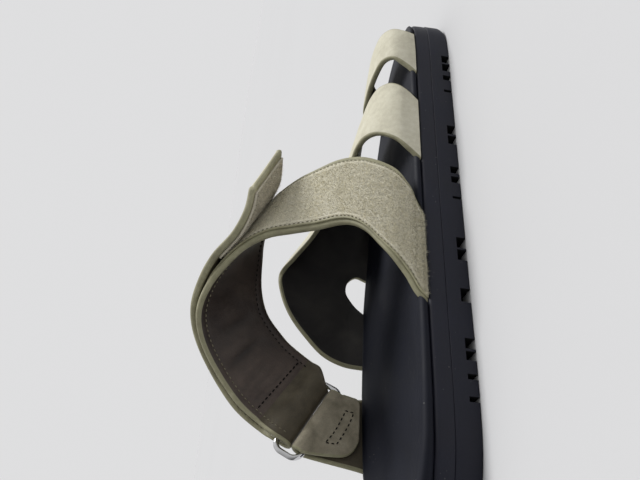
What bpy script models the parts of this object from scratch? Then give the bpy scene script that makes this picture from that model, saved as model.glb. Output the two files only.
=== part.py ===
"""Left sandal without a heel strap: lugged sole, moulded footbed, toe strap, vamp strap with a side
panel, and an instep strap that runs through a chrome ring and folds back to a free tab.

Tables are in millimetres in the sole frame: +X is the medial side, +Y the toe, +Z up, the floor at 0.
"""
import math
from collections import namedtuple

import bmesh
import bpy
import numpy as np

MM = 0.001
GAP = 0.3

# Driving sizes of the sole
SOLE_LENGTH = 268.0
SOLE_WIDTH = 84.0
SOLE_TOP_Z = 18.0
TOE_SPRING_RISE = 5.0
TOE_SPRING_LENGTH = 24.0
# How far the wall leans back at the toe, from a height up to its top
TOE_RAKE = 2.4
TOE_RAKE_FROM_Z = 2.6
FOOTBED_Z = 20.6
FOOT_Z = SOLE_TOP_Z + GAP
OUTLINE_SAMPLES = 38
OUTLINE_PER_SPAN = 16
SHARP_ANGLE_DEG = 40.0

# Driving sizes of the straps
STRAP_INSET = 0.6
INSTEP_INSET = 1.7
# How far a strap rises straight from its foot, and leans along the shoe as it does
STRAP_RISE = 4.5
PANEL_RISE_REAR, PANEL_RISE_FRONT = 4.5, 1.4
INSTEP_RISE, INSTEP_LEAN_REAR, INSTEP_LEAN_FRONT = 4.0, 4.5, 9.5
# Share of a strap's thickness that its long edges are rounded by
EDGE_ROUND_SHARE = 0.3
# Pockets for the straps' feet in the footbed
POCKET_HEADROOM = 1.0
POCKET_REACH_OUT = 2.0
POCKET_BELOW = np.array([0.0, 0.0, 1.5])
TOE_STRAP_THICKNESS = 3.0
VAMP_THICKNESS = 3.0
PANEL_THICKNESS = 2.2
INSTEP_THICKNESS = 3.0
RING_END_THICKNESS = 2.3
TAB_THICKNESS = 3.4
FACING_THICKNESS = 0.8
HOOK_THICKNESS = 1.0
FACING_MARGIN = 2.0
HOOK_MARGIN = 1.8
# Sections of the inner layer, next to the ring, that the facing leaves bare
FACING_ENDS_BEFORE = 6
# Sections at the free end that the hook patch covers
HOOK_SECTIONS = 3

# The ring: its two long bars run along RING_AXIS, and RING_ACROSS leads from the strap's bar to the tab's
RING_WIRE_RADIUS = 1.35
RING_BAR_DROP = 13.0
RING_BAR_INWARD = 4.0
RING_INNER_LENGTH = 36.5
RING_CORNER_RADIUS = 4.5
RING_CORNER_STEPS = 4
RING_BAR_CENTRE = np.array([-38.0, -71.5, 56.9])
RING_TILT_DEG = 31.0
RING_AXIS = np.array([0.0, math.cos(math.radians(RING_TILT_DEG)), -math.sin(math.radians(RING_TILT_DEG))])
RING_DOWN = np.array([0.0, -math.sin(math.radians(RING_TILT_DEG)), -math.cos(math.radians(RING_TILT_DEG))])
OUTWARD = np.array([-1.0, 0.0, 0.0])
RING_ACROSS = RING_BAR_DROP * RING_DOWN - RING_BAR_INWARD * OUTWARD
# Width of the strap round the bar, beside it and above it, and how far each is shifted along the bar
STRAP_WIDTH_AT_RING = 33.8
STRAP_SHIFT_AT_RING = 0.9
STRAP_WIDTH_BESIDE_RING = 35.6
STRAP_SHIFT_BESIDE_RING = 1.7
STRAP_WIDTH_ABOVE_RING = 40.6
STRAP_SHIFT_ABOVE_RING = 3.8
# How far the strap's loop hangs below its bar and inward of it, and how far it runs straight above the loop
STRAP_SLACK = 3.0
STRAP_INWARD = 0.5
STRAP_STRAIGHT_AT_RING = 5.6
# The tab's loop: its width, its shift along its bar, and how far it stands above the bar
RING_TAB_WIDTH_AT_RING = 34.0
RING_TAB_SHIFT = 0.9
RING_TAB_SLACK = 1.9
RING_TAB_STRAIGHT_AT_RING = 1.5
FOLD_ANGLES_DEG = (0.0, 45.0, 90.0, 135.0, 180.0)
STRAP_FOLD_RADIUS = RING_WIRE_RADIUS + GAP + STRAP_INWARD + RING_END_THICKNESS / 2
RING_TAB_FOLD_RADIUS = RING_WIRE_RADIUS + GAP + RING_END_THICKNESS / 2

# Outline of the sole from heel to toe: shares of the length from the heel and of the width from the middle
OutlineRow = namedtuple("OutlineRow", "along across")
MEDIAL_OUTLINE = [
    OutlineRow(0.000, 0.048),
    OutlineRow(0.009, 0.262),
    OutlineRow(0.045, 0.405),
    OutlineRow(0.100, 0.476),
    OutlineRow(0.172, 0.500),
    OutlineRow(0.350, 0.500),
    OutlineRow(0.550, 0.500),
    OutlineRow(0.780, 0.500),
    OutlineRow(0.900, 0.498),
    OutlineRow(0.955, 0.475),
    OutlineRow(0.988, 0.410),
    OutlineRow(1.000, 0.285),
]
LATERAL_OUTLINE = [
    OutlineRow(0.011, -0.143),
    OutlineRow(0.052, -0.298),
    OutlineRow(0.120, -0.393),
    OutlineRow(0.200, -0.435),
    OutlineRow(0.295, -0.458),
    OutlineRow(0.390, -0.476),
    OutlineRow(0.480, -0.494),
    OutlineRow(0.567, -0.500),
    OutlineRow(0.650, -0.488),
    OutlineRow(0.724, -0.429),
    OutlineRow(0.790, -0.300),
    OutlineRow(0.858, -0.170),
    OutlineRow(0.922, -0.071),
    OutlineRow(0.963, 0.012),
    OutlineRow(0.991, 0.119),
]

# Profiles of the sole's wall: how far each level is set in from the outline, and its height
Level = namedtuple("Level", "inset z")
OUTSOLE_LEVELS = [Level(0.7, 0.0), Level(0.0, 0.7), Level(0.0, 3.0), Level(0.0, 9.7), Level(0.5, 10.35)]
MIDSOLE_LEVELS = [
    Level(1.2, 10.65),
    Level(0.5, 11.1),
    Level(0.4, 13.0),
    Level(0.4, 16.0),
    Level(0.9, 17.3),
    Level(2.0, 18.0),
]

# Height of the footbed's rim along the shoe
RimRow = namedtuple("RimRow", "y medial lateral")
RIM = [
    RimRow(-134.0, 23.5, 24.5),
    RimRow(-100.0, 22.2, 26.0),
    RimRow(-60.0, 21.6, 25.6),
    RimRow(-15.0, 21.4, 24.4),
    RimRow(20.0, 21.2, 21.8),
    RimRow(60.0, 21.0, 20.8),
    RimRow(134.0, 21.2, 21.2),
]

# Share of the sole's width over which the rim's height passes from the lateral to the medial one
RIM_BLEND_SHARE = 0.7

# The footbed's rounded edge: how far each line is set in, and its share of the way up to the rim
FootbedLine = namedtuple("FootbedLine", "inset share")
FOOTBED_EDGE = [
    FootbedLine(1.6, 0.0),
    FootbedLine(0.9, 0.25),
    FootbedLine(0.8, 0.5),
    FootbedLine(1.4, 0.82),
    FootbedLine(2.8, 1.0),
    FootbedLine(6.0, 0.93),
]
# Where the footbed's surface is drawn across the shoe, and how far from its edge it has dipped to FOOTBED_Z
FOOTBED_ACROSS = (0.07, 0.18, 0.38, 0.62, 0.82, 0.93)
FOOTBED_DIP_REACH = 16.0

# Slots between the lugs: where each begins and ends along the shoe, and how far in it reaches
SlotRow = namedtuple("SlotRow", "y_back y_front reach")
SLOT_HEIGHT = 4.4
SLOT_CUT_BEYOND = 4.0
SLOT_CUT_BELOW = 3.0
SLOTS = [
    SlotRow(95.4, 100.5, 12.0),
    SlotRow(89.4, 94.4, 12.0),
    SlotRow(82.8, 86.1, 8.0),
    SlotRow(74.3, 75.9, 6.0),
    SlotRow(46.2, 51.6, 14.0),
    SlotRow(40.0, 45.1, 14.0),
    SlotRow(22.2, 26.1, 10.0),
    SlotRow(16.7, 20.3, 10.0),
    SlotRow(7.6, 8.9, 6.0),
    SlotRow(-18.5, -13.2, 14.0),
    SlotRow(-24.6, -19.4, 14.0),
    SlotRow(-44.6, -38.3, 16.0),
    SlotRow(-65.2, -60.7, 12.0),
    SlotRow(-70.0, -66.2, 12.0),
    SlotRow(-77.8, -75.6, 8.0),
    SlotRow(-86.6, -84.5, 8.0),
]

# How finely the straps are drawn: points across, and stations between two sections
StrapMesh = namedtuple("StrapMesh", "across per_span")
TOE_MESH = StrapMesh(5, 3)
VAMP_MESH = StrapMesh(13, 2)
INSTEP_MESH = StrapMesh(5, 3)
RING_TAB_MESH = StrapMesh(5, 3)

# Sections of a strap: its rear and front edge, and how far the section bows outward between them
StrapRow = namedtuple("StrapRow", "rear front bow")
TOE_MEDIAL_FOOT = (85.0, 116.0)
TOE_LEAN = (4.0, 1.4)
TOE_LATERAL_FOOT = (91.5, 112.5)
TOE_ROWS = [
    StrapRow((39.5, 95.0, 29.6), (36.8, 121.2, 29.2), 0.6),
    StrapRow((31.5, 99.5, 33.6), (30.0, 122.8, 33.2), 0.6),
    StrapRow((20.0, 100.0, 35.2), (20.0, 122.8, 34.4), 0.4),
    StrapRow((5.0, 98.5, 35.2), (8.0, 121.2, 33.8), 0.4),
    StrapRow((-8.5, 96.5, 33.4), (0.5, 116.5, 31.8), 0.4),
    StrapRow((-15.2, 93.5, 28.6), (-4.0, 114.0, 27.4), 0.4),
]
VAMP_MEDIAL_FOOT = (28.0, 66.5)
VAMP_LEAN = (4.4, 4.8)
VAMP_LATERAL_FOOT = (-47.0, 60.0)
VAMP_ROWS = [
    StrapRow((40.6, 38.0, 28.5), (40.8, 75.0, 27.0), 0.3),
    StrapRow((36.8, 43.5, 34.2), (37.4, 79.0, 31.2), 0.4),
    StrapRow((30.0, 48.5, 38.8), (30.0, 82.0, 35.0), 0.5),
    StrapRow((21.5, 51.5, 41.8), (21.0, 83.5, 36.6), 0.6),
    StrapRow((12.0, 53.0, 42.8), (10.0, 84.5, 36.8), 0.8),
    StrapRow((1.0, 52.5, 43.0), (-2.0, 84.0, 36.0), 1.0),
    StrapRow((-10.0, 41.0, 46.5), (-14.0, 81.0, 34.4), 1.6),
    StrapRow((-22.0, 18.0, 57.5), (-24.0, 75.5, 32.0), 2.6),
    StrapRow((-31.0, 8.5, 65.5), (-30.0, 70.0, 29.2), 3.6),
    StrapRow((-36.8, 0.5, 71.2), (-33.0, 65.8, 26.8), 4.6),
    StrapRow((-39.5, -9.5, 69.2), (-34.4, 63.2, 25.0), 5.2),
    StrapRow((-40.8, -21.0, 63.5), (-35.0, 61.8, 23.5), 5.6),
    StrapRow((-41.2, -32.0, 54.5), (-35.3, 61.0, 22.4), 5.6),
    StrapRow((-41.0, -41.0, 45.0), (-35.4, 60.6, 21.5), 5.4),
    StrapRow((-40.2, -45.6, 34.5), (-35.4, 60.3, 20.6), 5.0),
]
# The row of VAMP_ROWS where the strap has thinned to the panel's thickness
PANEL_FROM_ROW = 7

# Cut-out between the two legs of the side panel, in side view
CutoutPoint = namedtuple("CutoutPoint", "y z")
CUTOUT = [
    CutoutPoint(4.0, 14.0),
    CutoutPoint(5.4, 22.0),
    CutoutPoint(7.8, 28.0),
    CutoutPoint(4.2, 32.4),
    CutoutPoint(-2.0, 33.4),
    CutoutPoint(-7.6, 30.6),
    CutoutPoint(-13.0, 26.5),
    CutoutPoint(-16.5, 22.0),
    CutoutPoint(-17.2, 14.0),
]

CUTOUT_PER_SPAN = 3
CUTOUT_X = (-60.0, -20.0)
# The footbed's own edge shows in the cut-out, a little narrower than it
FOOTBED_IN_CUTOUT = 0.93

# Sections of the instep strap's inner layer, with the distance at which the folded layer lies outside it
InstepRow = namedtuple("InstepRow", "rear front lift front_lift", defaults=(None, None))
INSTEP_FOOT = (-46.5, -1.5)
INSTEP_ROWS = [
    InstepRow((39.2, -35.0, 26.5), (39.2, 15.2, 25.5)),
    InstepRow((38.6, -27.0, 32.0), (38.4, 21.5, 29.5)),
    InstepRow((36.0, -19.0, 37.2), (35.6, 27.0, 36.0)),
    InstepRow((32.6, -11.0, 42.2), (31.4, 31.5, 42.0)),
    InstepRow((28.6, -6.0, 47.0), (26.8, 34.0, 47.5)),
    InstepRow((23.8, -3.4, 51.8), (21.6, 35.2, 53.2)),
    InstepRow((15.6, -2.6, 61.5), (13.0, 35.4, 60.4)),
    InstepRow((9.6, -2.6, 72.0), (4.4, 35.0, 67.0)),
    InstepRow((5.0, -4.0, 83.0), (-4.4, 32.6, 73.4)),
    InstepRow((0.0, -8.0, 92.0), (-9.8, 29.7, 77.0), 8.5, 5.8),
    InstepRow((-7.6, -16.4, 101.6), (-22.2, 14.6, 81.8), 6.2, 6.0),
    InstepRow((-14.8, -23.6, 107.2), (-28.2, 2.4, 81.4), 5.0, 5.0),
    InstepRow((-23.4, -32.0, 110.0), (-34.0, -11.0, 79.6), 5.0, 4.6),
    InstepRow((-30.2, -40.4, 108.0), (-37.6, -22.4, 75.2), 6.0, 4.8),
    InstepRow((-36.4, -52.4, 100.4), (-39.6, -33.4, 65.6), 7.4, 5.2),
    InstepRow((-38.8, -69.5, 86.1), (-39.6, -38.9, 59.3), 8.4, 5.6),
    InstepRow((-37.6, -79.8, 73.0), (-37.6, -45.6, 50.7), 8.2, 5.8),
]
TAB_ROWS = [
    StrapRow((10.0, 5.0, 94.2), (-1.4, 37.6, 80.0), 0.0),
    StrapRow((15.0, 15.2, 93.1), (6.0, 49.8, 80.9), 0.0),
]

# The ring tab: lines of its foot along the lateral edge, and the free end of its inner flap
TabFootRow = namedtuple("TabFootRow", "rear front rise")
RING_TAB_FOOT = [TabFootRow(-99.6, -62.0, 0.0), TabFootRow(-98.8, -62.4, 5.0), TabFootRow(-97.6, -63.0, 10.0)]
FLAP_ROWS = [
    StrapRow((-31.3, -92.4, 42.0), (-31.4, -62.8, 35.2), 0.0),
    StrapRow((-31.0, -91.5, 33.4), (-31.1, -63.8, 31.2), 0.0),
    StrapRow((-30.4, -87.0, 28.0), (-30.6, -64.6, 27.6), 0.0),
]

MEDIAL = "medial"
LATERAL = "lateral"

Paint = namedtuple("Paint", "color roughness metallic")
CHARCOAL = Paint((0.022, 0.023, 0.027), 0.55, 0.0)
FOOTBED_GREY = Paint((0.026, 0.028, 0.033), 0.5, 0.0)
KHAKI = Paint((0.42, 0.40, 0.29), 0.85, 0.0)
PILE = Paint((0.40, 0.37, 0.28), 0.95, 0.0)
HOOK_GREY = Paint((0.30, 0.28, 0.22), 0.95, 0.0)
CHROME = Paint((0.80, 0.81, 0.83), 0.12, 1.0)


# Curves

def smooth(rows, per_span, closed=False):
    """Points of a smooth curve through rows, or of a smooth surface where each row is a line of points."""
    rows = np.asarray(rows, float)
    count = len(rows)
    flat = rows.reshape(count, -1)
    if closed:
        flat = np.vstack([flat[-1:], flat, flat[:2]])
    else:
        flat = np.vstack([2 * flat[:1] - flat[1:2], flat, 2 * flat[-1:] - flat[-2:-1]])
    spans = np.sqrt(np.linalg.norm(np.diff(flat, axis=0), axis=1))
    samples = []
    for index in range(1, len(flat) - 2):
        before, span, after = spans[index - 1:index + 2]
        p0, p1, p2, p3 = flat[index - 1:index + 3]
        m1 = ((p1 - p0) / before * span + (p2 - p1) / span * before) / (before + span) * span
        m2 = ((p2 - p1) / span * after + (p3 - p2) / after * span) / (span + after) * span
        for step in range(per_span):
            t = step / per_span
            samples.append(
                (2 * t**3 - 3 * t**2 + 1) * p1 + (t**3 - 2 * t**2 + t) * m1
                + (3 * t**2 - 2 * t**3) * p2 + (t**3 - t**2) * m2
            )
    if not closed:
        samples.append(flat[-2])
    return np.array(samples).reshape((-1,) + rows.shape[1:])


def resample(line, count):
    """A line of points read again at equal distances."""
    reach = np.concatenate([[0.0], np.cumsum(np.linalg.norm(np.diff(line, axis=0), axis=1))])
    places = np.linspace(0.0, reach[-1], count)
    return np.stack([np.interp(places, reach, line[:, axis]) for axis in range(line.shape[1])], axis=1)


# Outline of the sole

def outline_halves():
    """Medial and lateral half of the outline, each from the heel's end to the toe's."""
    loop = MEDIAL_OUTLINE + LATERAL_OUTLINE[::-1]
    points = [(row.across * SOLE_WIDTH, (row.along - 0.5) * SOLE_LENGTH) for row in loop]
    dense = smooth(points, OUTLINE_PER_SPAN, closed=True)
    toe = (len(MEDIAL_OUTLINE) - 1) * OUTLINE_PER_SPAN
    return {MEDIAL: dense[:toe + 1], LATERAL: np.vstack([dense[toe:], dense[:1]])[::-1]}


HALVES = outline_halves()


def outline_ring(inset):
    """The outline as a closed ring of points, heel end first, moved inward by inset."""
    medial = resample(HALVES[MEDIAL], OUTLINE_SAMPLES + 1)
    lateral = resample(HALVES[LATERAL], OUTLINE_SAMPLES + 1)
    ring = np.vstack([medial, lateral[-2:0:-1]])
    along = np.roll(ring, -1, axis=0) - np.roll(ring, 1, axis=0)
    inward = np.stack([-along[:, 1], along[:, 0]], axis=1)
    return ring + inset * inward / np.linalg.norm(inward, axis=1)[:, None]


def edge_point(side, y, inset, z):
    """A point at y beside one edge of the sole, inset from it."""
    half = HALVES[side]
    along = np.gradient(half, axis=0)
    inward = np.stack([-along[:, 1], along[:, 0]], axis=1) * (1 if side == MEDIAL else -1)
    inward /= np.linalg.norm(inward, axis=1)[:, None]
    shifted = half + inset * inward
    middle = slice(4, -4)
    return np.array([np.interp(y, shifted[middle, 1], shifted[middle, 0]), y, z])


def rim_height(points):
    """Height of the footbed's rim at points of its outline."""
    ys = [row.y for row in RIM]
    medial = np.interp(points[..., 1], ys, [row.medial for row in RIM])
    lateral = np.interp(points[..., 1], ys, [row.lateral for row in RIM])
    share = np.clip(0.5 + points[..., 0] / (RIM_BLEND_SHARE * SOLE_WIDTH), 0.0, 1.0)
    share = share**2 * (3 - 2 * share)
    return lateral + (medial - lateral) * share


def toe_spring(y):
    """Rise of the outsole's bottom under the toe."""
    start = SOLE_LENGTH / 2 - TOE_SPRING_LENGTH
    return TOE_SPRING_RISE * np.clip((y - start) / TOE_SPRING_LENGTH, 0.0, 1.0) ** 2


# Meshes

def paint_material(name, paint):
    material = bpy.data.materials.new(name)
    material.use_nodes = True
    shader = material.node_tree.nodes["Principled BSDF"]
    shader.inputs["Base Color"].default_value = (*paint.color, 1.0)
    shader.inputs["Roughness"].default_value = paint.roughness
    shader.inputs["Metallic"].default_value = paint.metallic
    return material


def add_object(name, bm, collection, paint=None):
    """A mesh object from a bmesh in millimetres, with its faces turned outward."""
    bmesh.ops.recalc_face_normals(bm, faces=bm.faces)
    if bm.calc_volume(signed=True) < 0:
        bmesh.ops.reverse_faces(bm, faces=bm.faces)
    bmesh.ops.scale(bm, vec=(MM, MM, MM), verts=bm.verts)
    mesh = bpy.data.meshes.new(name)
    bm.to_mesh(mesh)
    bm.free()
    mesh.shade_smooth()
    mesh.set_sharp_from_angle(angle=math.radians(SHARP_ANGLE_DEG))
    thing = bpy.data.objects.new(name, mesh)
    collection.objects.link(thing)
    if paint:
        mesh.materials.append(paint_material(name + "_material", paint))
    else:
        thing.hide_render = True
        thing.display_type = "WIRE"
    return thing


def ring_verts(bm, points):
    return [bm.verts.new(point) for point in points]


def bridge(bm, lower, upper):
    count = len(lower)
    for index in range(count):
        after = (index + 1) % count
        bm.faces.new((lower[index], lower[after], upper[after], upper[index]))


def cap_across(bm, ring):
    """Close an outline ring by faces that run from its medial to its lateral half."""
    count = len(ring)
    half = count // 2
    for index in range(half):
        corners = [ring[index], ring[index + 1], ring[count - index - 1], ring[-index % count]]
        bm.faces.new(list(dict.fromkeys(corners)))


def cut(thing, cutter):
    modifier = thing.modifiers.new("cut_" + cutter.name, "BOOLEAN")
    modifier.operation = "DIFFERENCE"
    modifier.solver = "EXACT"
    modifier.object = cutter


# Sole pieces

def sole_layer(name, levels, spring, collection):
    """A layer of the sole, built up from its levels."""
    bm = bmesh.new()
    rings = []
    for level in levels:
        flat = outline_ring(level.inset)
        rise = toe_spring(flat[:, 1]) * (1 - level.z / levels[-1].z) if spring else np.zeros(len(flat))
        rings.append(ring_verts(bm, raked(flat, level.z + rise)))
    for lower, upper in zip(rings, rings[1:]):
        bridge(bm, lower, upper)
    cap_across(bm, rings[0])
    cap_across(bm, rings[-1])
    return add_object(name, bm, collection, CHARCOAL)


def slot_cutter(collection):
    """One box for each slot, on the medial edge and on the lateral edge."""
    bm = bmesh.new()
    for row in SLOTS:
        middle = (row.y_back + row.y_front) / 2
        for side, inward in ((MEDIAL, -1), (LATERAL, 1)):
            edge = edge_point(side, middle, 0.0, 0.0)[0]
            outer = edge - inward * SLOT_CUT_BEYOND
            inner = edge + inward * row.reach
            box = bmesh.ops.create_cube(bm, size=1.0)["verts"]
            size = (abs(outer - inner), row.y_front - row.y_back, SLOT_HEIGHT + SLOT_CUT_BELOW)
            place = ((outer + inner) / 2, middle, (SLOT_HEIGHT - SLOT_CUT_BELOW) / 2)
            bmesh.ops.scale(bm, vec=size, verts=box)
            bmesh.ops.translate(bm, vec=place, verts=box)
    return add_object("slot_cutter", bm, collection)


def footbed_solid(collection):
    """The footbed: a rounded edge up to its rim, then a surface that dips inside the rim."""
    bm = bmesh.new()
    outer = outline_ring(0.0)
    rim = rim_height(outer)
    rings = []
    for row in FOOTBED_EDGE:
        rings.append(raked(outline_ring(row.inset), FOOT_Z + row.share * (rim - FOOT_Z)))
    verts = [ring_verts(bm, ring) for ring in rings]
    for lower, upper in zip(verts, verts[1:]):
        bridge(bm, lower, upper)
    cap_across(bm, verts[0])
    inner = rings[-1]
    count = len(inner)
    half = count // 2
    lines = [[verts[-1][0]]]
    for index in range(1, half):
        start, end = inner[index], inner[count - index]
        width = np.linalg.norm(end - start)
        line = [verts[-1][index]]
        for share in FOOTBED_ACROSS:
            point = start + (end - start) * share
            near_edge = min(share, 1 - share) * width
            dip = min(near_edge / FOOTBED_DIP_REACH, 1.0)
            dip = dip * dip * (3 - 2 * dip)
            point[2] += (FOOTBED_Z - point[2]) * dip
            line.append(bm.verts.new(point))
        line.append(verts[-1][count - index])
        lines.append(line)
    lines.append([verts[-1][half]])
    for line, after in zip(lines, lines[1:]):
        steps = max(len(line), len(after)) - 1
        for step in range(steps):
            corners = [
                line[min(step, len(line) - 1)],
                after[min(step, len(after) - 1)],
                after[min(step + 1, len(after) - 1)],
                line[min(step + 1, len(line) - 1)],
            ]
            bm.faces.new(list(dict.fromkeys(corners)))
    return add_object("footbed", bm, collection, FOOTBED_GREY)


# Straps

def raked(flat, z):
    """Outline points at heights z as points of the wall, which leans back with its height round the toe."""
    start = SOLE_LENGTH / 2 - TOE_SPRING_LENGTH
    share = np.clip((flat[:, 1] - start) / TOE_SPRING_LENGTH, 0.0, 1.0) ** 2
    height = np.clip((z - TOE_RAKE_FROM_Z) / (SOLE_TOP_Z - TOE_RAKE_FROM_Z), 0.0, 1.0)
    return np.column_stack([flat[:, 0], flat[:, 1] - TOE_RAKE * share * height, z])


def ruling(row, samples):
    """Points across a strap from its rear to its front edge, bowed away from the foot's middle."""
    share = np.linspace(0.0, 1.0, samples)[:, None]
    rear, front = np.array(row.rear), np.array(row.front)
    away = (rear + front) / 2 - np.array([0.0, 0.0, FOOTBED_Z])
    away[1] = 0.0
    away /= np.linalg.norm(away)
    bow = getattr(row, "bow", 0.0)
    return rear + (front - rear) * share + away * bow * 4 * share * (1 - share)


def foot_line(side, span, inset, rises, samples):
    """A line beside the edge of the sole, over the strap's span, that rises from rear to front as given."""
    lines = zip(np.linspace(*span, samples), FOOT_Z + np.linspace(*rises, samples))
    return np.array([edge_point(side, y, inset, z) for y, z in lines])


def bar_line(centre, offset, width, samples):
    """A line across a strap beside one bar of the ring."""
    share = np.linspace(-0.5, 0.5, samples)[:, None]
    return centre + offset + share * width * RING_AXIS


def fold_lines(centre, toward, radius, width, samples):
    """Lines of a strap that runs down inside a bar, round it on the side toward, and up outside it."""
    lines = []
    for angle in np.radians(FOLD_ANGLES_DEG):
        offset = radius * (math.sin(angle) * toward - math.cos(angle) * OUTWARD)
        lines.append(bar_line(centre, offset, width, samples))
    return lines


def unit_normals(grid):
    normals = np.cross(np.gradient(grid, axis=0), np.gradient(grid, axis=1))
    return normals / np.linalg.norm(normals, axis=2)[:, :, None]


def widened(grid, margin):
    """A strap's grid with its two long edges moved outward by margin, or inward if it is negative."""
    across = grid[:, -1] - grid[:, 0]
    width = np.linalg.norm(across, axis=1)
    share = np.linspace(-0.5, 0.5, grid.shape[1])
    return grid + across[:, None, :] * (share[None, :] * (2 * margin / width)[:, None])[:, :, None]


def strip(name, grid, outward, thickness, collection, paint=None, round_share=EDGE_ROUND_SHARE):
    """A closed strip whose outer face is the grid and whose thickness lies inside it, with rounded edges."""
    depth = np.asarray(thickness)[:, None, None] * np.ones((1, grid.shape[1], 1))
    trimmed = grid.copy()
    across = grid[:, -1] - grid[:, 0]
    across /= np.linalg.norm(across, axis=1)[:, None]
    trimmed[:, 0] += across * round_share * depth[:, 0]
    trimmed[:, -1] -= across * round_share * depth[:, 0]
    inner = trimmed - outward * depth
    middle = grid - outward * depth / 2
    samples = grid.shape[1]
    bm = bmesh.new()
    rings = []
    for station in range(len(grid)):
        points = [*trimmed[station], middle[station, -1], *inner[station, ::-1], middle[station, 0]]
        rings.append(ring_verts(bm, points))
    for lower, upper in zip(rings, rings[1:]):
        bridge(bm, lower, upper)
    for ring in (rings[0], rings[-1]):
        for index in range(samples - 1):
            opposite = 2 * samples - index
            bm.faces.new((ring[index], ring[index + 1], ring[opposite - 1], ring[opposite]))
        bm.faces.new((ring[samples - 1], ring[samples], ring[samples + 1]))
        bm.faces.new((ring[0], ring[2 * samples], ring[2 * samples + 1]))
    return add_object(name, bm, collection, paint)


def foot_cutter(name, grid, outward, thickness, collection):
    """The pocket that the foot of a strap needs in the footbed's edge: grid begins at the foot."""
    pocket = widened(np.concatenate([grid[:1] - POCKET_BELOW, grid]), GAP)
    normals = np.concatenate([outward[:1], outward])
    depth = np.concatenate([thickness[:1], thickness]) + GAP + POCKET_REACH_OUT
    return strip(name, pocket + normals * POCKET_REACH_OUT, normals, depth, collection, round_share=0.0)


def along_rows(values, per_span):
    """Values given for each section of a strap, read at each of its stations."""
    stations = np.arange((len(values) - 1) * per_span + 1) / per_span
    return np.interp(stations, np.arange(len(values)), values)


def stations_in_footbed(grid):
    """How many stations from the start of a strap reach until it is clear of the footbed's rim."""
    clear = grid[:, :, 2] > rim_height(grid) + POCKET_HEADROOM
    return int(np.argmax(clear.all(axis=1))) + 1


def fixed_strap(name, rows, feet, lateral_rises, thickness, fineness, collections, footbed):
    """A strap from the medial to the lateral edge, given by its outer face, with its pockets."""
    parts, cutters = collections
    samples, per_span = fineness
    medial, lean, lateral = feet
    leaning = (medial[0] + lean[0], medial[1] + lean[1])
    sections = [
        foot_line(MEDIAL, medial, STRAP_INSET, (0.0, 0.0), samples),
        foot_line(MEDIAL, leaning, STRAP_INSET, (STRAP_RISE, STRAP_RISE), samples),
        *[ruling(row, samples) for row in rows],
        foot_line(LATERAL, lateral, STRAP_INSET, lateral_rises, samples),
        foot_line(LATERAL, lateral, STRAP_INSET, (0.0, 0.0), samples),
    ]
    grid = smooth(sections, per_span)
    outward = unit_normals(grid)
    if outward[len(grid) // 3, samples // 2, 2] < 0:
        outward = -outward
    depth = along_rows(thickness, per_span)
    strap = strip(name, grid, outward, depth, parts, KHAKI)
    pockets = []
    for side, order in ((MEDIAL, slice(None)), (LATERAL, slice(None, None, -1))):
        count = stations_in_footbed(grid[order])
        pocket = (grid[order][:count], outward[order][:count], depth[order][:count])
        pockets.append(foot_cutter(f"{name}_{side}_pocket", *pocket, cutters))
        cut(footbed, pockets[-1])
    return strap, pockets


def cutout_cutter(name, scale, collection):
    """A prism through the lateral side panel with the cut-out's outline."""
    low_x, high_x = CUTOUT_X
    outline = smooth([(point.y, point.z) for point in CUTOUT], CUTOUT_PER_SPAN)
    middle = outline.mean(axis=0)
    outline = middle + (outline - middle) * np.array([scale, 1.0])
    bm = bmesh.new()
    near = ring_verts(bm, [(high_x, y, z) for y, z in outline])
    far = ring_verts(bm, [(low_x, y, z) for y, z in outline])
    bridge(bm, near, far)
    bm.faces.new(near)
    bm.faces.new(far[::-1])
    return add_object(name, bm, collection)


def instep_sections(samples):
    """Sections of the instep strap's middle face: up the medial side, over, round the ring and back."""
    inset = INSTEP_INSET + INSTEP_THICKNESS / 2
    rear, front = INSTEP_FOOT
    leaning = (rear + INSTEP_LEAN_REAR, front + INSTEP_LEAN_FRONT)
    inner = [
        foot_line(MEDIAL, (rear, front), inset, (0.0, 0.0), samples),
        foot_line(MEDIAL, leaning, inset, (INSTEP_RISE, INSTEP_RISE), samples),
        *[ruling(row, samples) for row in INSTEP_ROWS],
    ]
    loop = RING_BAR_CENTRE + STRAP_SLACK * RING_DOWN - STRAP_INWARD * OUTWARD
    at_ring = loop + STRAP_SHIFT_AT_RING * RING_AXIS
    fold = fold_lines(at_ring, RING_DOWN, STRAP_FOLD_RADIUS, STRAP_WIDTH_AT_RING, samples)
    beside = loop + STRAP_SHIFT_BESIDE_RING * RING_AXIS
    above = loop - STRAP_STRAIGHT_AT_RING * RING_DOWN + STRAP_SHIFT_ABOVE_RING * RING_AXIS
    offset = STRAP_FOLD_RADIUS * OUTWARD
    down, up = [
        [bar_line(above, away, STRAP_WIDTH_ABOVE_RING, samples),
         bar_line(beside, away, STRAP_WIDTH_BESIDE_RING, samples)]
        for away in (-offset, offset)
    ]
    fold = [*down, *fold[1:-1], *up[::-1]]
    normals = unit_normals(np.array(inner + fold[:1]))
    highest = int(np.argmax([line[:, 2].mean() for line in inner]))
    if normals[highest, samples // 2, 2] < 0:
        normals = -normals
    outer = []
    for index, row in enumerate(INSTEP_ROWS):
        if row.lift:
            lift = np.linspace(row.lift, row.front_lift, samples)[:, None]
            outer.append(inner[index + 2] + normals[index + 2] * lift)
    tab = [ruling(row, samples) for row in TAB_ROWS]
    return inner, fold, outer[::-1] + tab


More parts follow.
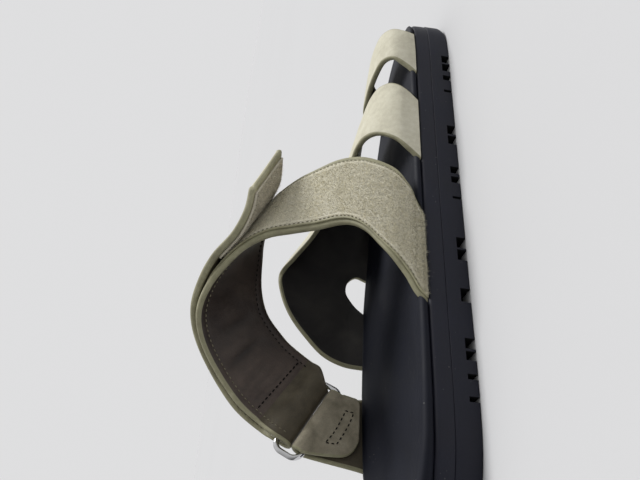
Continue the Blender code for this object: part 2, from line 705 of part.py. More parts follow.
def instep_pieces(collections, footbed):
    """The instep strap, the pile facing on its outer face and the hook patch under its free tab."""
    parts, cutters = collections
    samples, per_span = INSTEP_MESH
    inner, fold, outer = instep_sections(samples)
    grid = smooth(inner + fold + outer, per_span)
    normals = unit_normals(grid)
    thickness = [INSTEP_THICKNESS] * (len(inner) - 1) + [RING_END_THICKNESS] * (len(fold) + 1)
    thickness += [TAB_THICKNESS] * len(outer)
    depth = along_rows(thickness, per_span)
    half = depth[:, None, None] / 2
    top = int(np.argmax(grid[:len(inner) * per_span, :, 2].mean(axis=1)))
    if normals[top, samples // 2, 2] < 0:
        normals = -normals
    face = grid + normals * half
    strip("instep_strap", face, normals, depth, parts, KHAKI)
    count = stations_in_footbed(grid)
    cut(footbed, foot_cutter("instep_pocket", face[:count], normals[:count], depth[:count], cutters))
    # The facing lies on the inner layer's outer face, up to where the folded layer covers it
    faced = slice(0, (len(inner) - FACING_ENDS_BEFORE) * per_span)
    outer_face = grid + normals * (half + GAP + FACING_THICKNESS)
    facing = widened(outer_face[faced], -FACING_MARGIN)
    strip("loop_facing", facing, normals[faced], np.full(len(facing), FACING_THICKNESS), parts, PILE)
    # The folded layer runs the other way, so its normals point at the inner layer
    hooked = slice(len(grid) - HOOK_SECTIONS * per_span, len(grid) - 1)
    under_face = grid + normals * (half + GAP + HOOK_THICKNESS)
    patch = widened(under_face[hooked], -HOOK_MARGIN)
    strip("hook_patch", patch, normals[hooked], np.full(len(patch), HOOK_THICKNESS), parts, HOOK_GREY)


def ring_piece(collection):
    """The chrome ring: a closed wire with two long bars, two short ends and round corners."""
    centre = RING_BAR_CENTRE + RING_ACROSS / 2
    spacing = np.linalg.norm(RING_ACROSS)
    corner_across = RING_INNER_LENGTH / 2 + RING_WIRE_RADIUS - RING_CORNER_RADIUS
    corner_down = spacing / 2 - RING_CORNER_RADIUS
    points = []
    for quarter, (side, end) in enumerate(((1, 1), (-1, 1), (-1, -1), (1, -1))):
        for step in range(RING_CORNER_STEPS + 1):
            angle = math.pi / 2 * (quarter + step / RING_CORNER_STEPS)
            across = side * corner_across + RING_CORNER_RADIUS * math.cos(angle)
            down = end * corner_down + RING_CORNER_RADIUS * math.sin(angle)
            points.append(centre + across * RING_AXIS + down * RING_ACROSS / spacing)
    curve = bpy.data.curves.new("ring", "CURVE")
    curve.dimensions = "3D"
    curve.bevel_depth = RING_WIRE_RADIUS * MM
    curve.bevel_resolution = 2
    spline = curve.splines.new("POLY")
    spline.points.add(len(points) - 1)
    for target, point in zip(spline.points, points):
        target.co = (*(point * MM), 1.0)
    spline.use_cyclic_u = True
    curve.materials.append(paint_material("ring_material", CHROME))
    ring = bpy.data.objects.new("ring", curve)
    collection.objects.link(ring)


def ring_tab_piece(collections, footbed):
    """The folded tab: up from the lateral edge, round the ring's lower bar and down inside as a flap."""
    parts, cutters = collections
    samples, per_span = RING_TAB_MESH
    inset = STRAP_INSET + RING_END_THICKNESS / 2
    loop = RING_BAR_CENTRE + RING_ACROSS - RING_TAB_SLACK * RING_DOWN + RING_TAB_SHIFT * RING_AXIS
    fold = fold_lines(loop, -RING_DOWN, RING_TAB_FOLD_RADIUS, RING_TAB_WIDTH_AT_RING, samples)[::-1]
    straight = RING_TAB_STRAIGHT_AT_RING * RING_DOWN
    fold = [fold[0] + straight, *fold, fold[-1] + straight]
    feet = []
    for row in RING_TAB_FOOT:
        feet.append(foot_line(LATERAL, (row.rear, row.front), inset, (row.rise, row.rise), samples))
    sections = feet + fold + [ruling(row, samples) for row in FLAP_ROWS]
    grid = smooth(sections, per_span)
    normals = unit_normals(grid)
    if normals[0, samples // 2] @ OUTWARD < 0:
        normals = -normals
    depth = np.full(len(grid), RING_END_THICKNESS)
    face = grid + normals * RING_END_THICKNESS / 2
    strip("ring_tab", face, normals, depth, parts, KHAKI)
    count = stations_in_footbed(grid)
    cut(footbed, foot_cutter("ring_tab_pocket", face[:count], normals[:count], depth[:count], cutters))


# Assembly

def clear_scene():
    for thing in list(bpy.data.objects):
        bpy.data.objects.remove(thing, do_unlink=True)


def centre_on_floor(parts, cutters):
    """Hang everything on an empty that puts the middle of the pieces' box over the origin, on the floor."""
    bpy.context.view_layer.update()
    depsgraph = bpy.context.evaluated_depsgraph_get()
    corners = []
    for thing in parts.objects:
        mesh = thing.evaluated_get(depsgraph).to_mesh()
        corners += [thing.matrix_world @ vert.co for vert in mesh.vertices]
    corners = np.array(corners)
    low, high = corners.min(axis=0), corners.max(axis=0)
    root = bpy.data.objects.new("left_sandal_root", None)
    for thing in [*parts.objects, *cutters.objects]:
        thing.parent = root
    parts.objects.link(root)
    root.location = (-(low[0] + high[0]) / 2, -(low[1] + high[1]) / 2, -low[2])


def main():
    clear_scene()
    parts = bpy.data.collections.new("left_sandal")
    cutters = bpy.data.collections.new("cutters")
    bpy.context.scene.collection.children.link(parts)
    bpy.context.scene.collection.children.link(cutters)
    collections = (parts, cutters)
    outsole = sole_layer("outsole", OUTSOLE_LEVELS, True, parts)
    cut(outsole, slot_cutter(cutters))
    sole_layer("midsole", MIDSOLE_LEVELS, False, parts)
    footbed = footbed_solid(parts)
    toe_depth = [TOE_STRAP_THICKNESS] * (len(TOE_ROWS) + 4)
    toe_feet = (TOE_MEDIAL_FOOT, TOE_LEAN, TOE_LATERAL_FOOT)
    toe_rises = (STRAP_RISE, STRAP_RISE)
    fixed_strap("toe_strap", TOE_ROWS, toe_feet, toe_rises, toe_depth, TOE_MESH, collections, footbed)
    vamp_depth = [VAMP_THICKNESS] * (PANEL_FROM_ROW + 2)
    vamp_depth += [PANEL_THICKNESS] * (len(VAMP_ROWS) + 4 - len(vamp_depth))
    vamp_feet = (VAMP_MEDIAL_FOOT, VAMP_LEAN, VAMP_LATERAL_FOOT)
    panel_rises = (PANEL_RISE_REAR, PANEL_RISE_FRONT)
    vamp = (VAMP_ROWS, vamp_feet, panel_rises, vamp_depth, VAMP_MESH)
    vamp_strap, pockets = fixed_strap("vamp_strap", *vamp, collections, footbed)
    cut(vamp_strap, cutout_cutter("panel_cutout", 1.0, cutters))
    lateral_pocket = pockets[1]
    cut(lateral_pocket, cutout_cutter("footbed_in_cutout", FOOTBED_IN_CUTOUT, cutters))
    instep_pieces(collections, footbed)
    ring_piece(parts)
    ring_tab_piece(collections, footbed)
    centre_on_floor(parts, cutters)


main()
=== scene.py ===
# The dressed left sandal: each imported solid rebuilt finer, in leather, pile, thread, chrome and rubber
import math
from collections import namedtuple

import bmesh
import bpy
import numpy as np
from mathutils import Matrix, Vector, noise


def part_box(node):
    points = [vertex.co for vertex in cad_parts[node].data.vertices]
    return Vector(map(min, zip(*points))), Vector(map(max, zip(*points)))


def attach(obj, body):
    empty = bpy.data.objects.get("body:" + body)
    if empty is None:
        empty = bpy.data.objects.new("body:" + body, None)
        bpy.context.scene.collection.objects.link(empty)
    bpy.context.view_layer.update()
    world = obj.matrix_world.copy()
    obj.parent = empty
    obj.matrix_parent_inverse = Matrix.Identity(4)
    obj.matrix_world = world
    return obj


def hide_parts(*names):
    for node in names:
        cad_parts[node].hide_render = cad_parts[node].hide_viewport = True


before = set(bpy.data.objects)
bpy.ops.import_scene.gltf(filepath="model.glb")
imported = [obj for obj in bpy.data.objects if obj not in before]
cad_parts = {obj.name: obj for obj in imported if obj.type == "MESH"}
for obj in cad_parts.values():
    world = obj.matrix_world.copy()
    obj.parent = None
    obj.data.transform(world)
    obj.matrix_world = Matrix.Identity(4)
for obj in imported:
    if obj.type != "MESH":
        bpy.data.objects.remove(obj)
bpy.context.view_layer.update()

# Tables are in millimetres in the sole frame: +X is the medial side, +Y the toe, +Z up, the floor at 0.
MM = 0.001
GAP = 0.3
SOLE_LOW, SOLE_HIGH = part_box("outsole")
SHIFT = np.array([(SOLE_LOW.x + SOLE_HIGH.x) / 2, (SOLE_LOW.y + SOLE_HIGH.y) / 2, SOLE_LOW.z]) / MM

# Sizes of the sole
SOLE_LENGTH = 268.0
SOLE_WIDTH = 84.0
SOLE_TOP_Z = 18.0
TOE_SPRING_RISE = 5.0
TOE_SPRING_LENGTH = 24.0
TOE_RAKE = 2.4
TOE_RAKE_FROM_Z = 2.6
FOOTBED_Z = 20.6
FOOT_Z = SOLE_TOP_Z + GAP
OUTLINE_SAMPLES = 150
OUTLINE_PER_SPAN = 40
# Points at each end of an outline's half, where it turns across the shoe
OUTLINE_END_POINTS = 10

# Sizes of the straps
STRAP_INSET = 0.6
INSTEP_INSET = 1.7
STRAP_RISE = 4.5
PANEL_RISE_REAR, PANEL_RISE_FRONT = 4.5, 1.4
INSTEP_RISE, INSTEP_LEAN_REAR, INSTEP_LEAN_FRONT = 4.0, 4.5, 9.5
POCKET_HEADROOM = 1.0
POCKET_REACH_OUT = 2.0
POCKET_BELOW = np.array([0.0, 0.0, 1.5])
TOE_STRAP_THICKNESS = 3.0
VAMP_THICKNESS = 3.0
PANEL_THICKNESS = 2.2
INSTEP_THICKNESS = 3.0
RING_END_THICKNESS = 2.3
TAB_THICKNESS = 3.4
FACING_THICKNESS = 1.05
FACING_LIFT = 0.05
HOOK_THICKNESS = 1.2
HOOK_LIFT = 0.05
FACING_MARGIN = 2.0
HOOK_MARGIN = 1.8
FACING_ENDS_BEFORE = 6
HOOK_SECTIONS = 3
HOOK_ENDS_BEFORE = 3
# Rounding of a strap's long edges as a share of its thickness, and how finely it is drawn
EDGE_ROUND_SHARE = 0.42
END_ROUND_SHARE = 0.32
EDGE_STEPS = 5

# The ring and the two straps folded round it
RING_WIRE_RADIUS = 1.35
RING_BAR_DROP = 13.0
RING_BAR_INWARD = 4.0
RING_INNER_LENGTH = 36.5
RING_CORNER_RADIUS = 4.5
RING_BAR_CENTRE = np.array([-38.0, -71.5, 56.9])
RING_TILT = math.radians(31.0)
RING_AXIS = np.array([0.0, math.cos(RING_TILT), -math.sin(RING_TILT)])
RING_DOWN = np.array([0.0, -math.sin(RING_TILT), -math.cos(RING_TILT)])
OUTWARD = np.array([-1.0, 0.0, 0.0])
UP = np.array([0.0, 0.0, 1.0])
RING_ACROSS = RING_BAR_DROP * RING_DOWN - RING_BAR_INWARD * OUTWARD
STRAP_WIDTH_AT_RING = 33.8
STRAP_SHIFT_AT_RING = 0.9
STRAP_WIDTH_BESIDE_RING = 35.6
STRAP_SHIFT_BESIDE_RING = 1.7
STRAP_WIDTH_ABOVE_RING = 40.6
STRAP_SHIFT_ABOVE_RING = 3.8
STRAP_SLACK = 3.0
STRAP_INWARD = 0.5
RING_TAB_WIDTH_AT_RING = 34.0
RING_TAB_SHIFT = 0.9
RING_TAB_SLACK = 1.9
STRAP_STRAIGHT_AT_RING = 5.6
RING_TAB_STRAIGHT_AT_RING = 1.5
FOLD_ANGLES_DEG = (0.0, 45.0, 90.0, 135.0, 180.0)
STRAP_FOLD_RADIUS = RING_WIRE_RADIUS + GAP + STRAP_INWARD + RING_END_THICKNESS / 2
RING_TAB_FOLD_RADIUS = RING_WIRE_RADIUS + GAP + RING_END_THICKNESS / 2

# Outline of the sole from heel to toe: shares of the length from the heel and of the width from the middle
OutlineRow = namedtuple("OutlineRow", "along across")
MEDIAL_OUTLINE = [
    OutlineRow(0.000, 0.048),
    OutlineRow(0.009, 0.262),
    OutlineRow(0.045, 0.405),
    OutlineRow(0.100, 0.476),
    OutlineRow(0.172, 0.500),
    OutlineRow(0.350, 0.500),
    OutlineRow(0.550, 0.500),
    OutlineRow(0.780, 0.500),
    OutlineRow(0.900, 0.498),
    OutlineRow(0.955, 0.475),
    OutlineRow(0.988, 0.410),
    OutlineRow(1.000, 0.285),
]
LATERAL_OUTLINE = [
    OutlineRow(0.011, -0.143),
    OutlineRow(0.052, -0.298),
    OutlineRow(0.120, -0.393),
    OutlineRow(0.200, -0.435),
    OutlineRow(0.295, -0.458),
    OutlineRow(0.390, -0.476),
    OutlineRow(0.480, -0.494),
    OutlineRow(0.567, -0.500),
    OutlineRow(0.650, -0.488),
    OutlineRow(0.724, -0.429),
    OutlineRow(0.790, -0.300),
    OutlineRow(0.858, -0.170),
    OutlineRow(0.922, -0.071),
    OutlineRow(0.963, 0.012),
    OutlineRow(0.991, 0.119),
]

# Profiles of the sole's wall: how far each level is set in from the outline, and its height
Level = namedtuple("Level", "inset z")
OUTSOLE_LEVELS = [
    Level(0.7, 0.0),
    Level(0.32, 0.1),
    Level(0.12, 0.3),
    Level(0.02, 0.7),
    Level(0.0, 2.6),
    Level(0.0, 6.2),
    Level(0.0, 10.0),
    Level(0.08, 10.3),
    Level(0.3, 10.45),
]
MIDSOLE_LEVELS = [
    Level(0.6, 10.5),
    Level(0.34, 10.58),
    Level(0.26, 10.8),
    Level(0.26, 13.0),
    Level(0.35, 15.8),
    Level(0.55, 16.8),
    Level(1.0, 17.6),
    Level(2.0, 18.0),
]

# Height of the footbed's rim along the shoe
RimRow = namedtuple("RimRow", "y medial lateral")
RIM = [
    RimRow(-134.0, 23.5, 24.5),
    RimRow(-100.0, 22.2, 26.0),
    RimRow(-60.0, 21.6, 25.6),
    RimRow(-15.0, 21.4, 24.4),
    RimRow(20.0, 21.2, 21.8),
    RimRow(60.0, 21.0, 20.8),
    RimRow(112.0, 21.0, 20.9),
    RimRow(134.0, 19.6, 19.6),
]
RIM_BLEND_SHARE = 0.7
FootbedLine = namedtuple("FootbedLine", "inset share")
FOOTBED_EDGE = [
    FootbedLine(1.6, 0.0),
    FootbedLine(0.9, 0.25),
    FootbedLine(0.8, 0.5),
    FootbedLine(1.4, 0.82),
    FootbedLine(2.8, 1.0),
    FootbedLine(6.0, 0.93),
]
FOOTBED_EDGE_PER_SPAN = 3
FOOTBED_ACROSS = 44
FOOTBED_DIP_REACH = 16.0

# Slots between the lugs: where each begins and ends along the shoe, and how far in it reaches
SlotRow = namedtuple("SlotRow", "y_back y_front reach")
SLOT_HEIGHT = 4.4
SLOT_CUT_BEYOND = 4.0
SLOT_CUT_BELOW = 3.0
SLOT_WALL = 1.2
GROOVE_DEPTH = 1.2
GROOVE_NARROWER = 0.6
GROOVE_NARROWEST = 1.0
SLOTS = [
    SlotRow(95.4, 100.5, 12.0),
    SlotRow(89.4, 94.4, 12.0),
    SlotRow(82.8, 86.1, 8.0),
    SlotRow(74.3, 75.9, 6.0),
    SlotRow(46.2, 51.6, 14.0),
    SlotRow(40.0, 45.1, 14.0),
    SlotRow(22.2, 26.1, 10.0),
    SlotRow(16.7, 20.3, 10.0),
    SlotRow(7.6, 8.9, 6.0),
    SlotRow(-18.5, -13.2, 14.0),
    SlotRow(-24.6, -19.4, 14.0),
    SlotRow(-44.6, -38.3, 16.0),
    SlotRow(-65.2, -60.7, 12.0),
    SlotRow(-70.0, -66.2, 12.0),
    SlotRow(-77.8, -75.6, 8.0),
    SlotRow(-86.6, -84.5, 8.0),
]

# How finely the straps are drawn: points across, and stations between two sections
StrapMesh = namedtuple("StrapMesh", "across per_span")
TOE_MESH = StrapMesh(33, 14)
VAMP_MESH = StrapMesh(81, 12)
INSTEP_MESH = StrapMesh(41, 12)
RING_TAB_MESH = StrapMesh(37, 10)

# Sections of a strap: its rear and front edge, and how far the section bows outward between them
StrapRow = namedtuple("StrapRow", "rear front bow")
TOE_MEDIAL_FOOT = (85.0, 116.0)
TOE_LEAN = (4.0, 1.4)
TOE_LATERAL_FOOT = (91.5, 112.5)
TOE_ROWS = [
    StrapRow((39.5, 95.0, 29.6), (36.8, 121.2, 29.2), 0.6),
    StrapRow((31.5, 99.5, 33.6), (30.0, 122.8, 33.2), 0.6),
    StrapRow((20.0, 100.0, 35.2), (20.0, 122.8, 34.4), 0.4),
    StrapRow((5.0, 98.5, 35.2), (8.0, 121.2, 33.8), 0.4),
    StrapRow((-8.5, 96.5, 33.4), (0.5, 116.5, 31.8), 0.4),
    StrapRow((-15.2, 93.5, 28.6), (-4.0, 114.0, 27.4), 0.4),
]
VAMP_MEDIAL_FOOT = (28.0, 66.5)
VAMP_LEAN = (4.4, 4.8)
VAMP_LATERAL_FOOT = (-47.0, 60.0)
VAMP_ROWS = [
    StrapRow((40.6, 38.0, 28.5), (40.8, 75.0, 27.0), 0.3),
    StrapRow((36.8, 43.5, 34.2), (37.4, 79.0, 31.2), 0.4),
    StrapRow((30.0, 48.5, 38.8), (30.0, 82.0, 35.0), 0.5),
    StrapRow((21.5, 51.5, 41.8), (21.0, 83.5, 36.6), 0.6),
    StrapRow((12.0, 53.0, 42.8), (10.0, 84.5, 36.8), 0.8),
    StrapRow((1.0, 52.5, 43.0), (-2.0, 84.0, 36.0), 1.0),
    StrapRow((-10.0, 41.0, 46.5), (-14.0, 81.0, 34.4), 1.6),
    StrapRow((-22.0, 18.0, 57.5), (-24.0, 75.5, 32.0), 2.6),
    StrapRow((-31.0, 8.5, 65.5), (-30.0, 70.0, 29.2), 3.6),
    StrapRow((-36.8, 0.5, 71.2), (-33.0, 65.8, 26.8), 4.6),
    StrapRow((-39.5, -9.5, 69.2), (-34.4, 63.2, 25.0), 5.2),
    StrapRow((-40.8, -21.0, 63.5), (-35.0, 61.8, 23.5), 5.6),
    StrapRow((-41.2, -32.0, 54.5), (-35.3, 61.0, 22.4), 5.6),
    StrapRow((-41.0, -41.0, 45.0), (-35.4, 60.6, 21.5), 5.4),
    StrapRow((-40.2, -45.6, 34.5), (-35.4, 60.3, 20.6), 5.0),
]
PANEL_FROM_ROW = 7

# Cut-out between the two legs of the side panel, in side view
CutoutPoint = namedtuple("CutoutPoint", "y z")
CUTOUT = [
    CutoutPoint(4.0, 14.0),
    CutoutPoint(5.4, 22.0),
    CutoutPoint(7.8, 28.0),
    CutoutPoint(4.2, 32.4),
    CutoutPoint(-2.0, 33.4),
    CutoutPoint(-7.6, 30.6),
    CutoutPoint(-13.0, 26.5),
    CutoutPoint(-16.5, 22.0),
    CutoutPoint(-17.2, 14.0),
]
CUTOUT_PER_SPAN = 8
CUTOUT_X = (-60.0, -20.0)
FOOTBED_IN_CUTOUT = 0.93

# Sections of the instep strap's inner layer, with the distance at which the folded layer lies outside it
InstepRow = namedtuple("InstepRow", "rear front lift front_lift bow", defaults=(None, None, 0.0))
INSTEP_FOOT = (-46.5, -1.5)
INSTEP_ROWS = [
    InstepRow((39.2, -35.0, 26.5), (39.2, 15.2, 25.5)),
    InstepRow((38.6, -27.0, 32.0), (38.4, 21.5, 29.5)),
    InstepRow((36.0, -19.0, 37.2), (35.6, 27.0, 36.0)),
    InstepRow((32.6, -11.0, 42.2), (31.4, 31.5, 42.0)),
    InstepRow((28.6, -6.0, 47.0), (26.8, 34.0, 47.5)),
    InstepRow((23.8, -3.4, 51.8), (21.6, 35.2, 53.2)),
    InstepRow((15.6, -2.6, 61.5), (13.0, 35.4, 60.4)),
    InstepRow((9.6, -2.6, 72.0), (4.4, 35.0, 67.0)),
    InstepRow((5.0, -4.0, 83.0), (-4.4, 32.6, 73.4)),
    InstepRow((0.0, -8.0, 92.0), (-9.8, 29.7, 77.0), 8.5, 5.8),
    InstepRow((-7.6, -16.4, 101.6), (-22.2, 14.6, 81.8), 6.2, 6.0),
    InstepRow((-14.8, -23.6, 107.2), (-28.2, 2.4, 81.4), 5.0, 5.0),
    InstepRow((-23.4, -32.0, 110.0), (-34.0, -11.0, 79.6), 5.0, 4.6),
    InstepRow((-30.2, -40.4, 108.0), (-37.6, -22.4, 75.2), 6.0, 4.8),
    InstepRow((-36.4, -52.4, 100.4), (-39.6, -33.4, 65.6), 7.4, 5.2),
    InstepRow((-38.8, -69.5, 86.1), (-39.6, -38.9, 59.3), 8.4, 5.6),
    InstepRow((-37.6, -79.8, 73.0), (-37.6, -45.6, 50.7), 8.2, 5.8),
]
TAB_ROWS = [
    StrapRow((10.0, 5.0, 94.2), (-1.4, 37.6, 80.0), 0.0),
    StrapRow((15.0, 15.2, 93.1), (6.0, 49.8, 80.9), 0.0),
]
TAB_CORNER_RADIUS = 1.2

# The ring tab: lines of its foot along the lateral edge, and the free end of its inner flap
TabFootRow = namedtuple("TabFootRow", "rear front rise")
RING_TAB_FOOT = [TabFootRow(-99.6, -62.0, 0.0), TabFootRow(-98.8, -62.4, 5.0), TabFootRow(-97.6, -63.0, 10.0)]
FLAP_ROWS = [
    StrapRow((-31.3, -92.4, 42.0), (-31.4, -62.8, 35.2), 0.0),
    StrapRow((-31.0, -91.5, 33.4), (-31.1, -63.8, 31.2), 0.0),
    StrapRow((-30.4, -87.0, 28.0), (-30.6, -64.6, 27.6), 0.0),
]
FLAP_CORNER_RADIUS = 3.5

MEDIAL = "medial"
LATERAL = "lateral"


# Curves, as in the solids

def smooth(rows, per_span, closed=False):
    """Points of a smooth curve through rows, or of a smooth surface where each row is a line of points."""
    rows = np.asarray(rows, float)
    count = len(rows)
    flat = rows.reshape(count, -1)
    if closed:
        flat = np.vstack([flat[-1:], flat, flat[:2]])
    else:
        flat = np.vstack([2 * flat[:1] - flat[1:2], flat, 2 * flat[-1:] - flat[-2:-1]])
    spans = np.sqrt(np.linalg.norm(np.diff(flat, axis=0), axis=1))
    samples = []
    for index in range(1, len(flat) - 2):
        before, span, after = spans[index - 1:index + 2]
        p0, p1, p2, p3 = flat[index - 1:index + 3]
        m1 = ((p1 - p0) / before * span + (p2 - p1) / span * before) / (before + span) * span
        m2 = ((p2 - p1) / span * after + (p3 - p2) / after * span) / (span + after) * span
        for step in range(per_span):
            t = step / per_span
            samples.append(
                (2 * t**3 - 3 * t**2 + 1) * p1 + (t**3 - 2 * t**2 + t) * m1
                + (3 * t**2 - 2 * t**3) * p2 + (t**3 - t**2) * m2
            )
    if not closed:
        samples.append(flat[-2])
    return np.array(samples).reshape((-1,) + rows.shape[1:])


def reach_of(line):
    """Distance of each point of a line from its start, along the line."""
    return np.concatenate([[0.0], np.cumsum(np.linalg.norm(np.diff(line, axis=0), axis=1))])


def read_line(line, places, reach):
    """Points or vectors of a line, read at places along its reach."""
    return np.stack([np.interp(places, reach, line[:, axis]) for axis in range(line.shape[1])], axis=1)


def resample(line, count):
    """A line of points read again at equal distances."""
    reach = reach_of(line)
    return read_line(line, np.linspace(0.0, reach[-1], count), reach)


def outline_halves():
    """Medial and lateral half of the outline, each from the heel's end to the toe's."""
    loop = MEDIAL_OUTLINE + LATERAL_OUTLINE[::-1]
    points = [(row.across * SOLE_WIDTH, (row.along - 0.5) * SOLE_LENGTH) for row in loop]
    dense = smooth(points, OUTLINE_PER_SPAN, closed=True)
    toe = (len(MEDIAL_OUTLINE) - 1) * OUTLINE_PER_SPAN
    return {MEDIAL: dense[:toe + 1], LATERAL: np.vstack([dense[toe:], dense[:1]])[::-1]}


HALVES = outline_halves()


def outline_ring(inset):
    """The outline as a closed ring of points, heel end first, moved inward by inset."""
    medial = resample(HALVES[MEDIAL], OUTLINE_SAMPLES + 1)
    lateral = resample(HALVES[LATERAL], OUTLINE_SAMPLES + 1)
    ring = np.vstack([medial, lateral[-2:0:-1]])
    along = np.roll(ring, -1, axis=0) - np.roll(ring, 1, axis=0)
    inward = np.stack([-along[:, 1], along[:, 0]], axis=1)
    return ring + inset * inward / np.linalg.norm(inward, axis=1)[:, None]


def edge_point(side, y, inset, z):
    """A point at y beside one edge of the sole, inset from it."""
    half = HALVES[side]
    along = np.gradient(half, axis=0)
    inward = np.stack([-along[:, 1], along[:, 0]], axis=1) * (1 if side == MEDIAL else -1)
    inward /= np.linalg.norm(inward, axis=1)[:, None]
    shifted = half + inset * inward
    middle = slice(OUTLINE_END_POINTS, -OUTLINE_END_POINTS)
    return np.array([np.interp(y, shifted[middle, 1], shifted[middle, 0]), y, z])


def rim_height(points):
    """Height of the footbed's rim at points of its outline."""
    ys = [row.y for row in RIM]
    medial = np.interp(points[..., 1], ys, [row.medial for row in RIM])
    lateral = np.interp(points[..., 1], ys, [row.lateral for row in RIM])
    share = np.clip(0.5 + points[..., 0] / (RIM_BLEND_SHARE * SOLE_WIDTH), 0.0, 1.0)
    share = share**2 * (3 - 2 * share)
    return lateral + (medial - lateral) * share


def toe_share(y):
    """How far the toe has its shape at y: not at all behind it, and fully at its tip."""
    start = SOLE_LENGTH / 2 - TOE_SPRING_LENGTH
    return np.clip((y - start) / TOE_SPRING_LENGTH, 0.0, 1.0) ** 2


def toe_spring(y):
    """Rise of the outsole's bottom under the toe."""
    return TOE_SPRING_RISE * toe_share(y)


def raked(flat, z):
    """Outline points at heights z as points of the wall, which leans back with its height round the toe."""
    height = np.clip((z - TOE_RAKE_FROM_Z) / (SOLE_TOP_Z - TOE_RAKE_FROM_Z), 0.0, 1.0)
    return np.column_stack([flat[:, 0], flat[:, 1] - TOE_RAKE * toe_share(flat[:, 1]) * height, z])


def ruling(row, samples):
    """Points across a strap from its rear to its front edge, bowed away from the foot's middle."""
    share = np.linspace(0.0, 1.0, samples)[:, None]
    rear, front = np.array(row.rear), np.array(row.front)
    away = (rear + front) / 2 - np.array([0.0, 0.0, FOOTBED_Z])
    away[1] = 0.0
    away /= np.linalg.norm(away)
    return rear + (front - rear) * share + away * row.bow * 4 * share * (1 - share)


def foot_line(side, span, inset, rises, samples):
    """A line beside the edge of the sole, over the strap's span, that rises from rear to front as given."""
    lines = zip(np.linspace(*span, samples), FOOT_Z + np.linspace(*rises, samples))
    return np.array([edge_point(side, y, inset, z) for y, z in lines])


def bar_line(centre, offset, width, samples):
    """A line across a strap beside one bar of the ring."""
    share = np.linspace(-0.5, 0.5, samples)[:, None]
    return centre + offset + share * width * RING_AXIS


def fold_lines(centre, toward, radius, width, samples):
    """Lines of a strap that runs down inside a bar, round it on the side toward, and up outside it."""
    lines = []
    for angle in np.radians(FOLD_ANGLES_DEG):
        offset = radius * (math.sin(angle) * toward - math.cos(angle) * OUTWARD)
        lines.append(bar_line(centre, offset, width, samples))
    return lines


def unit(vectors):
    return vectors / np.linalg.norm(vectors, axis=-1, keepdims=True)


def unit_normals(grid):
    return unit(np.cross(np.gradient(grid, axis=0), np.gradient(grid, axis=1)))


def turned(normals, station, toward):
    """A strap's normals, turned round if they point away from toward in the middle of a station."""
    return -normals if normals[station, normals.shape[1] // 2] @ toward < 0 else normals


def widened(grid, margin):
    """A strap's grid with its two long edges moved outward by margin, or inward if it is negative."""
    across = grid[:, -1] - grid[:, 0]
    width = np.linalg.norm(across, axis=1)
    share = np.linspace(-0.5, 0.5, grid.shape[1])
    margin = np.broadcast_to(margin, width.shape)
    return grid + across[:, None, :] * (share[None, :] * (2 * margin / width)[:, None])[:, :, None]


def along_rows(values, per_span):
    """Values given for each section of a strap, read at each of its stations."""
    stations = np.arange((len(values) - 1) * per_span + 1) / per_span
    return np.interp(stations, np.arange(len(values)), values)


# Node graphs of the materials

def add_node(tree, kind, inputs=(), **settings):
    """A node with its settings, and its inputs set to values or linked to sockets."""
    made = tree.nodes.new(kind)
    for key, value in settings.items():
        setattr(made, key, value)
    for key, value in dict(inputs).items():
        if isinstance(value, bpy.types.NodeSocket):
            tree.links.new(value, made.inputs[key])
        else:
            made.inputs[key].default_value = value
    return made


def new_material(name):
    material = bpy.data.materials.new(name)
    material.use_nodes = True
    tree = material.node_tree
    return material, tree, tree.nodes["Principled BSDF"]


def place_of(tree):
    return add_node(tree, "ShaderNodeTexCoord").outputs["Object"]


def grain(tree, place, size_mm, detail=3.0, roughness=0.6, distortion=0.0):
    """Noise whose features are about size_mm across."""
    inputs = {"Vector": place, "Scale": 1 / (size_mm * MM), "Detail": detail, "Roughness": roughness}
    inputs["Distortion"] = distortion
    return add_node(tree, "ShaderNodeTexNoise", inputs).outputs["Fac"]


def cells(tree, place, size_mm):
    """Distance from the nearest of points scattered about size_mm apart."""
    inputs = {"Vector": place, "Scale": 1 / (size_mm * MM)}
    return add_node(tree, "ShaderNodeTexVoronoi", inputs).outputs["Distance"]


def ramp(tree, value, stops):
    """Colours along a value: stops are pairs of place and colour, or of place and grey level."""
    made = add_node(tree, "ShaderNodeValToRGB", {"Fac": value})
    band = made.color_ramp
    while len(band.elements) < len(stops):
        band.elements.new(1.0)
    for element, (place, colour) in zip(band.elements, stops):
        element.position = place
        grey = isinstance(colour, float)
        element.color = (colour, colour, colour, 1.0) if grey else (*colour, 1.0)
    return made.outputs["Color"]


# Sockets of a colour mix: its factor, its two colours and its result
MIX_FACTOR, MIX_FIRST, MIX_SECOND, MIX_RESULT = 0, 6, 7, 2


def mix(tree, factor, first, second, blend="MIX"):
    """Two colours mixed by a factor, each of them a tone or linked to a socket."""
    inputs = {MIX_FACTOR: factor}
    for index, colour in ((MIX_FIRST, first), (MIX_SECOND, second)):
        inputs[index] = colour if isinstance(colour, bpy.types.NodeSocket) else (*colour, 1.0)
    return add_node(tree, "ShaderNodeMix", inputs, data_type="RGBA", blend_type=blend).outputs[MIX_RESULT]


def bump(tree, height, depth_mm, strength=1.0, below=None):
    inputs = {"Height": height, "Distance": depth_mm * MM, "Strength": strength}
    if below:
        inputs["Normal"] = below
    return add_node(tree, "ShaderNodeBump", inputs).outputs["Normal"]


# Names of the layers that a piece carries for its materials, and the unit of the lay in mm
LAY = "lay"
TONE = "tone"
LAY_UNIT = 10.0
# Where the lower and the upper tone of a noise lie in its range
NOISE_LOW, NOISE_HIGH = 0.3, 0.7


def spread(tree, value, low, high):
    """Tones from low to high over the middle of a noise's range."""
    return ramp(tree, value, [(NOISE_LOW, low), (NOISE_HIGH, high)])


